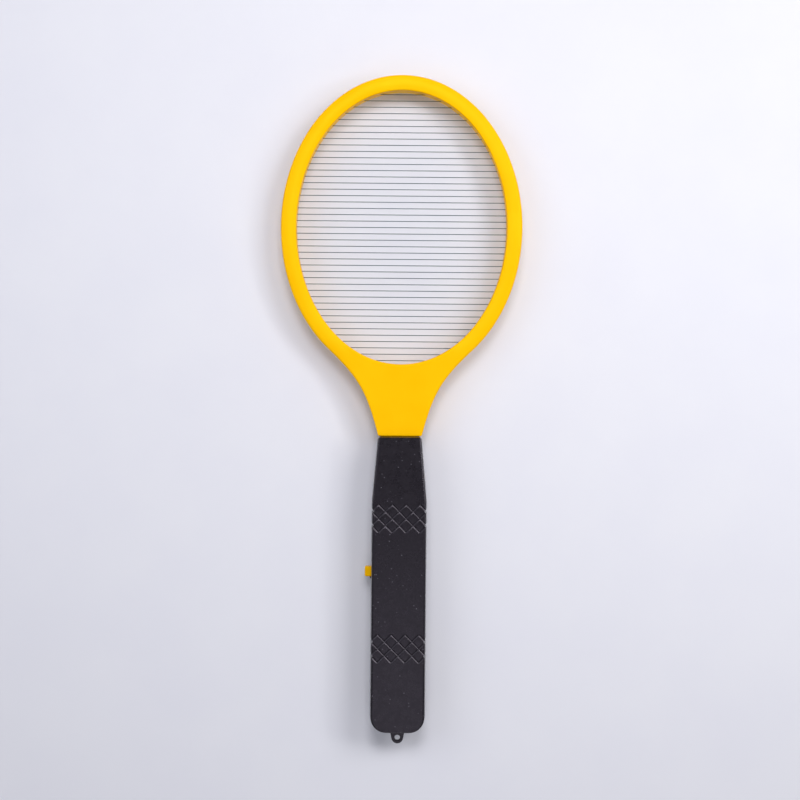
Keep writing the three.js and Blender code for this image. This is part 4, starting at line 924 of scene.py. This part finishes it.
def scattered(tree, place, tone, size_mm, spacing_mm, threshold, speck):
    """Small specks of dust or pigment, a few of the points of a cell pattern."""
    dots = add(tree, "ShaderNodeTexVoronoi", {}, {"Vector": place, "Scale": per_metre(spacing_mm)})
    near = size_mm / spacing_mm
    dot = add(tree, "ShaderNodeMapRange", {}, {
        "Value": dots.outputs["Distance"], "From Min": 0.5 * near, "From Max": near,
        "To Min": 1.0, "To Max": 0.0})
    chosen = add(tree, "ShaderNodeMapRange", {}, {
        "Value": dots.outputs["Color"], "From Min": threshold, "From Max": threshold + 0.15})
    both = add(tree, "ShaderNodeMath", {"operation": "MULTIPLY"}, {0: dot.outputs[0], 1: chosen.outputs[0]})
    return add(tree, "ShaderNodeMix", RGBA_MIX, {0: both.outputs[0], 6: tone, 7: colour(speck)}).outputs[2]


def windings_with_painted_shade(tree, place, tone):
    """Painted shade: dark lines between the turns of 0.3 mm wire, where the crevices between them fall into
    shade.
    """
    z = add(tree, "ShaderNodeSeparateXYZ", {}, {0: place}).outputs["Z"]
    wave = add(tree, "ShaderNodeMath", {"operation": "PINGPONG"}, {0: z, 1: 0.15 * MM}).outputs[0]
    line = add(tree, "ShaderNodeMapRange", {}, {
        "Value": wave, "From Max": 0.05 * MM, "To Min": 0.75, "To Max": 0.0})
    # painted shade: dark brown in the crevices between the turns
    return add(tree, "ShaderNodeMix", RGBA_MIX, {
        0: line.outputs[0], 6: tone, 7: colour("3a1508")}).outputs[2]


def bare_ends(low, high):
    """Bare steel below one place along Y and above another, with the printed jacket between them."""
    def paint(tree, place, tone):
        y = add(tree, "ShaderNodeSeparateXYZ", {}, {0: place}).outputs["Y"]
        from_middle = add(tree, "ShaderNodeMath", {"operation": "SUBTRACT"}, {
            0: y, 1: (low + high) / 2 * MM})
        away = add(tree, "ShaderNodeMath", {"operation": "ABSOLUTE"}, {0: from_middle.outputs[0]})
        half = (high - low) / 2
        bare = add(tree, "ShaderNodeMapRange", {}, {
            "Value": away.outputs[0], "From Min": (half - 0.05) * MM, "From Max": half * MM})
        return add(tree, "ShaderNodeMix", RGBA_MIX, {
            0: bare.outputs[0], 6: tone, 7: colour("c3c4c4")}).outputs[2]
    return paint


def board_tracks(tree, place, tone):
    """Brown resin paper with darker copper tracks showing through it."""
    tracks = add(tree, "ShaderNodeTexBrick", {"offset": 0.5, "squash": 0.7}, {
        "Vector": place, "Scale": per_metre(7.0), "Mortar Size": 0.06, "Color1": (1, 1, 1, 1),
        "Color2": (1, 1, 1, 1), "Mortar": (0, 0, 0, 1)}).outputs["Color"]
    between = add(tree, "ShaderNodeMix", RGBA_MIX, {0: tracks, 6: colour("6e4a20"), 7: tone}).outputs[2]
    return add(tree, "ShaderNodeMix", RGBA_MIX, {0: 0.35, 6: tone, 7: between}).outputs[2]


def make_finishes():
    """One finish for each kind of surface, named for what it is."""
    made = {}
    # Injection-moulded yellow ABS: an even satin skin, warm in its depth, with faint flow clouds.
    made["yellow_plastic"] = finish("yellow_abs_moulded", "fdc004", "fbbb00", 30, 0.5, 0.006, (0.36, 0.46),
                                    ior=1.53, specks=(0.25, 4.0, 0.8, "efae00"), sheen="ffcf40")
    # Black ABS from a spark-eroded mould: a fine grain that breaks up highlights, and pale points of dust.
    # The real grain is about 0.1 mm; it is drawn at 0.7 mm so that it shows, with mottling at 1.3 mm.
    made["black_plastic"] = finish("black_abs_spark_eroded", "0a080d", "151218", 1.3, 0.7, 0.035,
                                   (0.25, 0.33), ior=1.53, specks=(0.4, 2.2, 0.6, "626067"), sheen="e2d9e6")
    # Drawn galvanised steel wire: lengthwise streaks and a grey-green bloom.
    made["grid_wire"] = finish("galvanised_wire", "5c716f", "4e6361", 18, 0.3, 0.01, (0.5, 0.65),
                               metallic=1.0, stretch=(0.05, 1, 1))
    # Zinc-plated steel: bright, with fine turning marks.
    made["screw_steel"] = finish("zinc_plated_steel", "b9bbb8", "9fa3a6", 2.5, 0.15, 0.01, (0.22, 0.4),
                                 metallic=1.0)
    # Black nylon: slightly waxy.
    made["switch_plastic"] = finish("black_nylon", "26262a", "303036", 3, 0.4, 0.01, (0.4, 0.55), ior=1.53)
    # White acetal: smooth and a little translucent.
    made["white_plastic"] = finish("white_acetal", "e6e3db", "dcd8cd", 3, 0.4, 0.006, (0.3, 0.42), ior=1.48)
    # Phenolic paper board: brown and fibrous, with the shadow of its copper tracks.
    made["board"] = finish("phenolic_paper_board", "b07c3a", "9c6a2e", 5, 0.5, 0.01, (0.45, 0.6),
                           ior=1.55, pattern=board_tracks)
    # Pressed ferrite: dull dark grey with a sintered grain.
    made["ferrite"] = finish("sintered_ferrite", "3b3b3e", "2d2d31", 2, 0.3, 0.02, (0.55, 0.75), ior=1.9)
    # Enamelled copper wire: shiny brown turns side by side, with painted shade in the crevices between them.
    made["copper_wire"] = finish("enamelled_copper", "b4622a", "9c4f1e", 2, 0.3, 0.02, (0.2, 0.35),
                                 metallic=0.9, pattern=windings_with_painted_shade, coat=0.6)
    # Dipped epoxy on a film capacitor: glossy brick red.
    made["capacitor_coating"] = finish("red_dipped_epoxy", "8d2a1e", "7a2118", 4, 0.8, 0.02, (0.15, 0.28),
                                       ior=1.55, coat=0.4)
    # Fired ceramic disc under blue lacquer.
    made["blue_ceramic"] = finish("blue_lacquered_ceramic", "3b73b8", "2f62a4", 2, 0.5, 0.02, (0.25, 0.4),
                                  ior=1.6)
    # Black transfer-moulded epoxy: fine matte.
    made["component_black"] = finish("black_moulded_epoxy", "1d1d20", "252529", 1.5, 0.25, 0.01, (0.4, 0.55),
                                     ior=1.55)
    # Beige resistor lacquer over a ceramic rod.
    made["resistor_coating"] = finish("beige_resistor_lacquer", "c9a878", "bd9a68", 1.5, 0.3, 0.01,
                                      (0.3, 0.45), ior=1.5)
    # Printed foil jacket of a dry cell: green, sleek, with bare steel at both ends.
    low, high = span("battery_1")
    made["cell_jacket"] = finish("cell_foil_jacket", "2f6f4a", "2a6543", 12, 0.6, 0.004, (0.22, 0.34),
                                 metallic=0.35, pattern=bare_ends(low.y + 1.5, high.y - 2.2))
    # Nickel-plated spring steel: warm white metal with rolling marks.
    made["contact_metal"] = finish("nickel_plated_steel", "c2bfb8", "adaaa3", 3, 0.2, 0.01, (0.2, 0.36),
                                   metallic=1.0)
    # PVC insulation in three colours: soft sheen.
    for slot, first, second in (("lead_red", "c42a22", "b3241d"), ("lead_white", "e4e2dc", "d8d5cd"),
                                ("lead_black", "1e1e21", "27272a")):
        made[slot] = finish("pvc_" + slot, first, second, 3, 0.4, 0.008, (0.35, 0.5), ior=1.53)
    return made


FINISHES = make_finishes()

# ------------------------------------------------------------------ placing pieces on the frame


def place(piece, body, slot, *nodes):
    piece.data.materials.clear()
    piece.data.materials.append(FINISHES[slot])
    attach(piece, body)
    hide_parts(*nodes)


def build_pieces():
    front, rear = head_shells()
    place(front, "housing", "yellow_plastic", "head_front_shell")
    place(rear, "housing", "yellow_plastic", "head_rear_shell")
    place(comb("grid_live_wires", -1, 0), "housing", "grid_wire", "grid_live_comb")
    place(comb("grid_return_wires", 1, 1), "housing", "grid_wire", "grid_return_comb")
    place(handle_front(), "housing", "black_plastic", "handle_front_shell")
    place(handle_rear(), "housing", "black_plastic", "handle_rear_shell")
    place(battery_cover(), "battery_cover", "black_plastic", "battery_cover")
    place(button(), "push_button", "yellow_plastic", "push_button")
    groups = (("head", 8, SMALL_SCREW), ("neck", 2, LARGE_SCREW), ("handle", 4, LARGE_SCREW))
    for group, count, size in groups:
        for i in range(count):
            node = f"{group}_screw_{i + 1}"
            place(screw(f"{group}_pan_screw_{i + 1}", node, size), "housing", "screw_steel", node)
    place(cell("cell_left", "battery_1", True), "housing", "cell_jacket", "battery_1")
    place(cell("cell_right", "battery_2", False), "housing", "cell_jacket", "battery_2")
    for where in ("lower", "upper"):
        node = f"contact_spring_{where}"
        place(spring(f"coil_{where}", node), "housing", "contact_metal", node)


# Slots of the nodes that keep their CAD shape.
KEPT_NODES = {
    "switch_plastic": ["switch_body"],
    "white_plastic": ["switch_plunger", "transformer_bobbin"],
    "board": ["circuit_board"],
    "ferrite": ["transformer_core"],
    "copper_wire": ["transformer_winding"],
    "capacitor_coating": ["storage_capacitor"],
    "blue_ceramic": ["multiplier_capacitor_1", "multiplier_capacitor_2"],
    "component_black": ["rectifier_diode_1", "rectifier_diode_2", "rectifier_diode_3",
                        "oscillator_transistor"],
    "resistor_coating": ["base_resistor", "bleed_resistor"],
    "contact_metal": ["contact_positive", "contact_negative", "contact_bridge"],
    "lead_red": ["high_voltage_lead_live", "battery_lead_positive"],
    "lead_white": ["high_voltage_lead_return"],
    "lead_black": ["battery_lead_negative"],
}


def finish_kept_nodes():
    for slot, nodes in KEPT_NODES.items():
        for node in nodes:
            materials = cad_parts[node].data.materials
            materials.clear()
            materials.append(FINISHES[slot])


# ------------------------------------------------------------------ stage


def make_floor():
    half = 3.0
    below = -0.0003
    corners = [(-half, -half, below), (half, -half, below), (half, half, below), (-half, half, below)]
    mesh = bpy.data.meshes.new("floor")
    mesh.from_pydata(corners, [], [(0, 1, 2, 3)])
    floor = link("floor", mesh)
    # Painted board: nearly white, a little blue, quite matt.
    mesh.materials.append(finish("pale_painted_board", "e2e2e7", "e0e0e6", 60, 1.2, 0.01, (0.6, 0.75)))


def area_light(name, position, target, size, power, tint):
    data = bpy.data.lights.new(name, "AREA")
    data.shape = "DISK"
    data.size = size
    data.energy = power
    data.color = colour(tint)[:3]
    lamp = bpy.data.objects.new(name, data)
    bpy.context.scene.collection.objects.link(lamp)
    lamp.location = position
    lamp.rotation_euler = (Vector(target) - Vector(position)).to_track_quat("-Z", "Y").to_euler()


# Brightness at heights from the horizon, 0, to straight overhead, 1.
SKY_BRIGHTNESS = ((0.0, 0.2), (0.35, 0.28), (0.65, 0.40), (0.85, 0.38), (0.95, 0.17), (1.0, 0.16))


def make_sky():
    """A dim room with a brighter ring of diffusers half-way up, as plain light from all round."""
    world = bpy.data.worlds.new("studio")
    bpy.context.scene.world = world
    world.use_nodes = True
    tree = world.node_tree
    direction = add(tree, "ShaderNodeTexCoord").outputs["Generated"]
    height = add(tree, "ShaderNodeSeparateXYZ", {}, {0: direction}).outputs["Z"]
    ramp = add(tree, "ShaderNodeValToRGB", {}, {0: height})
    while len(ramp.color_ramp.elements) < len(SKY_BRIGHTNESS):
        ramp.color_ramp.elements.new(0.5)
    for element, (position, strength) in zip(ramp.color_ramp.elements, SKY_BRIGHTNESS):
        element.position = position
        element.color = (strength, strength, strength, 1.0)
    tint = add(tree, "ShaderNodeMix", {"data_type": "RGBA", "blend_type": "MULTIPLY"}, {
        0: 1.0, 6: ramp.outputs[0], 7: colour("eef0f8")})
    tree.links.new(tint.outputs[2], tree.nodes["Background"].inputs["Color"])


# Watts.
KEY_POWER = 4.2
EDGE_POWER = 1.3
TOP_POWER = 4.2
LEFT_POWER = 2.7
FOOT_POWER = 0.7


def make_lights():
    """Five soft discs, placed in metres; the key light stands up and to the right."""
    centre = (0.0, 0.0, 0.0)
    area_light("key_light", (0.61, 0.41, 0.82), centre, 0.48, KEY_POWER, "fdfcff")
    area_light("edge_light", (0.80, 0.08, 0.70), centre, 0.16, EDGE_POWER, "ffffff")
    area_light("top_light", (0.0, 0.45, 0.95), centre, 0.4, TOP_POWER, "fcfbff")
    area_light("left_light", (-0.80, 0.30, 0.85), centre, 0.8, LEFT_POWER, "f2f5ff")
    area_light("foot_light", (0.0, -0.42, 1.0), (0.0, -0.15, 0.0), 0.5, FOOT_POWER, "f6f5ff")


def make_camera():
    """Straight down, with the whole swatter in a square field; places in metres."""
    height = 0.02  # level at which the field is as wide as given
    distance = 0.95
    field = 0.527
    turned = math.radians(0.5)
    data = bpy.data.cameras.new("camera")
    data.sensor_width = 36.0
    data.lens = data.sensor_width * distance / field
    camera = bpy.data.objects.new("camera", data)
    bpy.context.scene.collection.objects.link(camera)
    camera.location = (-0.0001, 0.0066, distance + height)
    camera.rotation_euler = (0.0, 0.0, turned)
    bpy.context.scene.camera = camera


make_camera()
build_pieces()
finish_kept_nodes()
make_floor()
make_sky()
make_lights()
bpy.context.scene.view_settings.view_transform = "Standard"
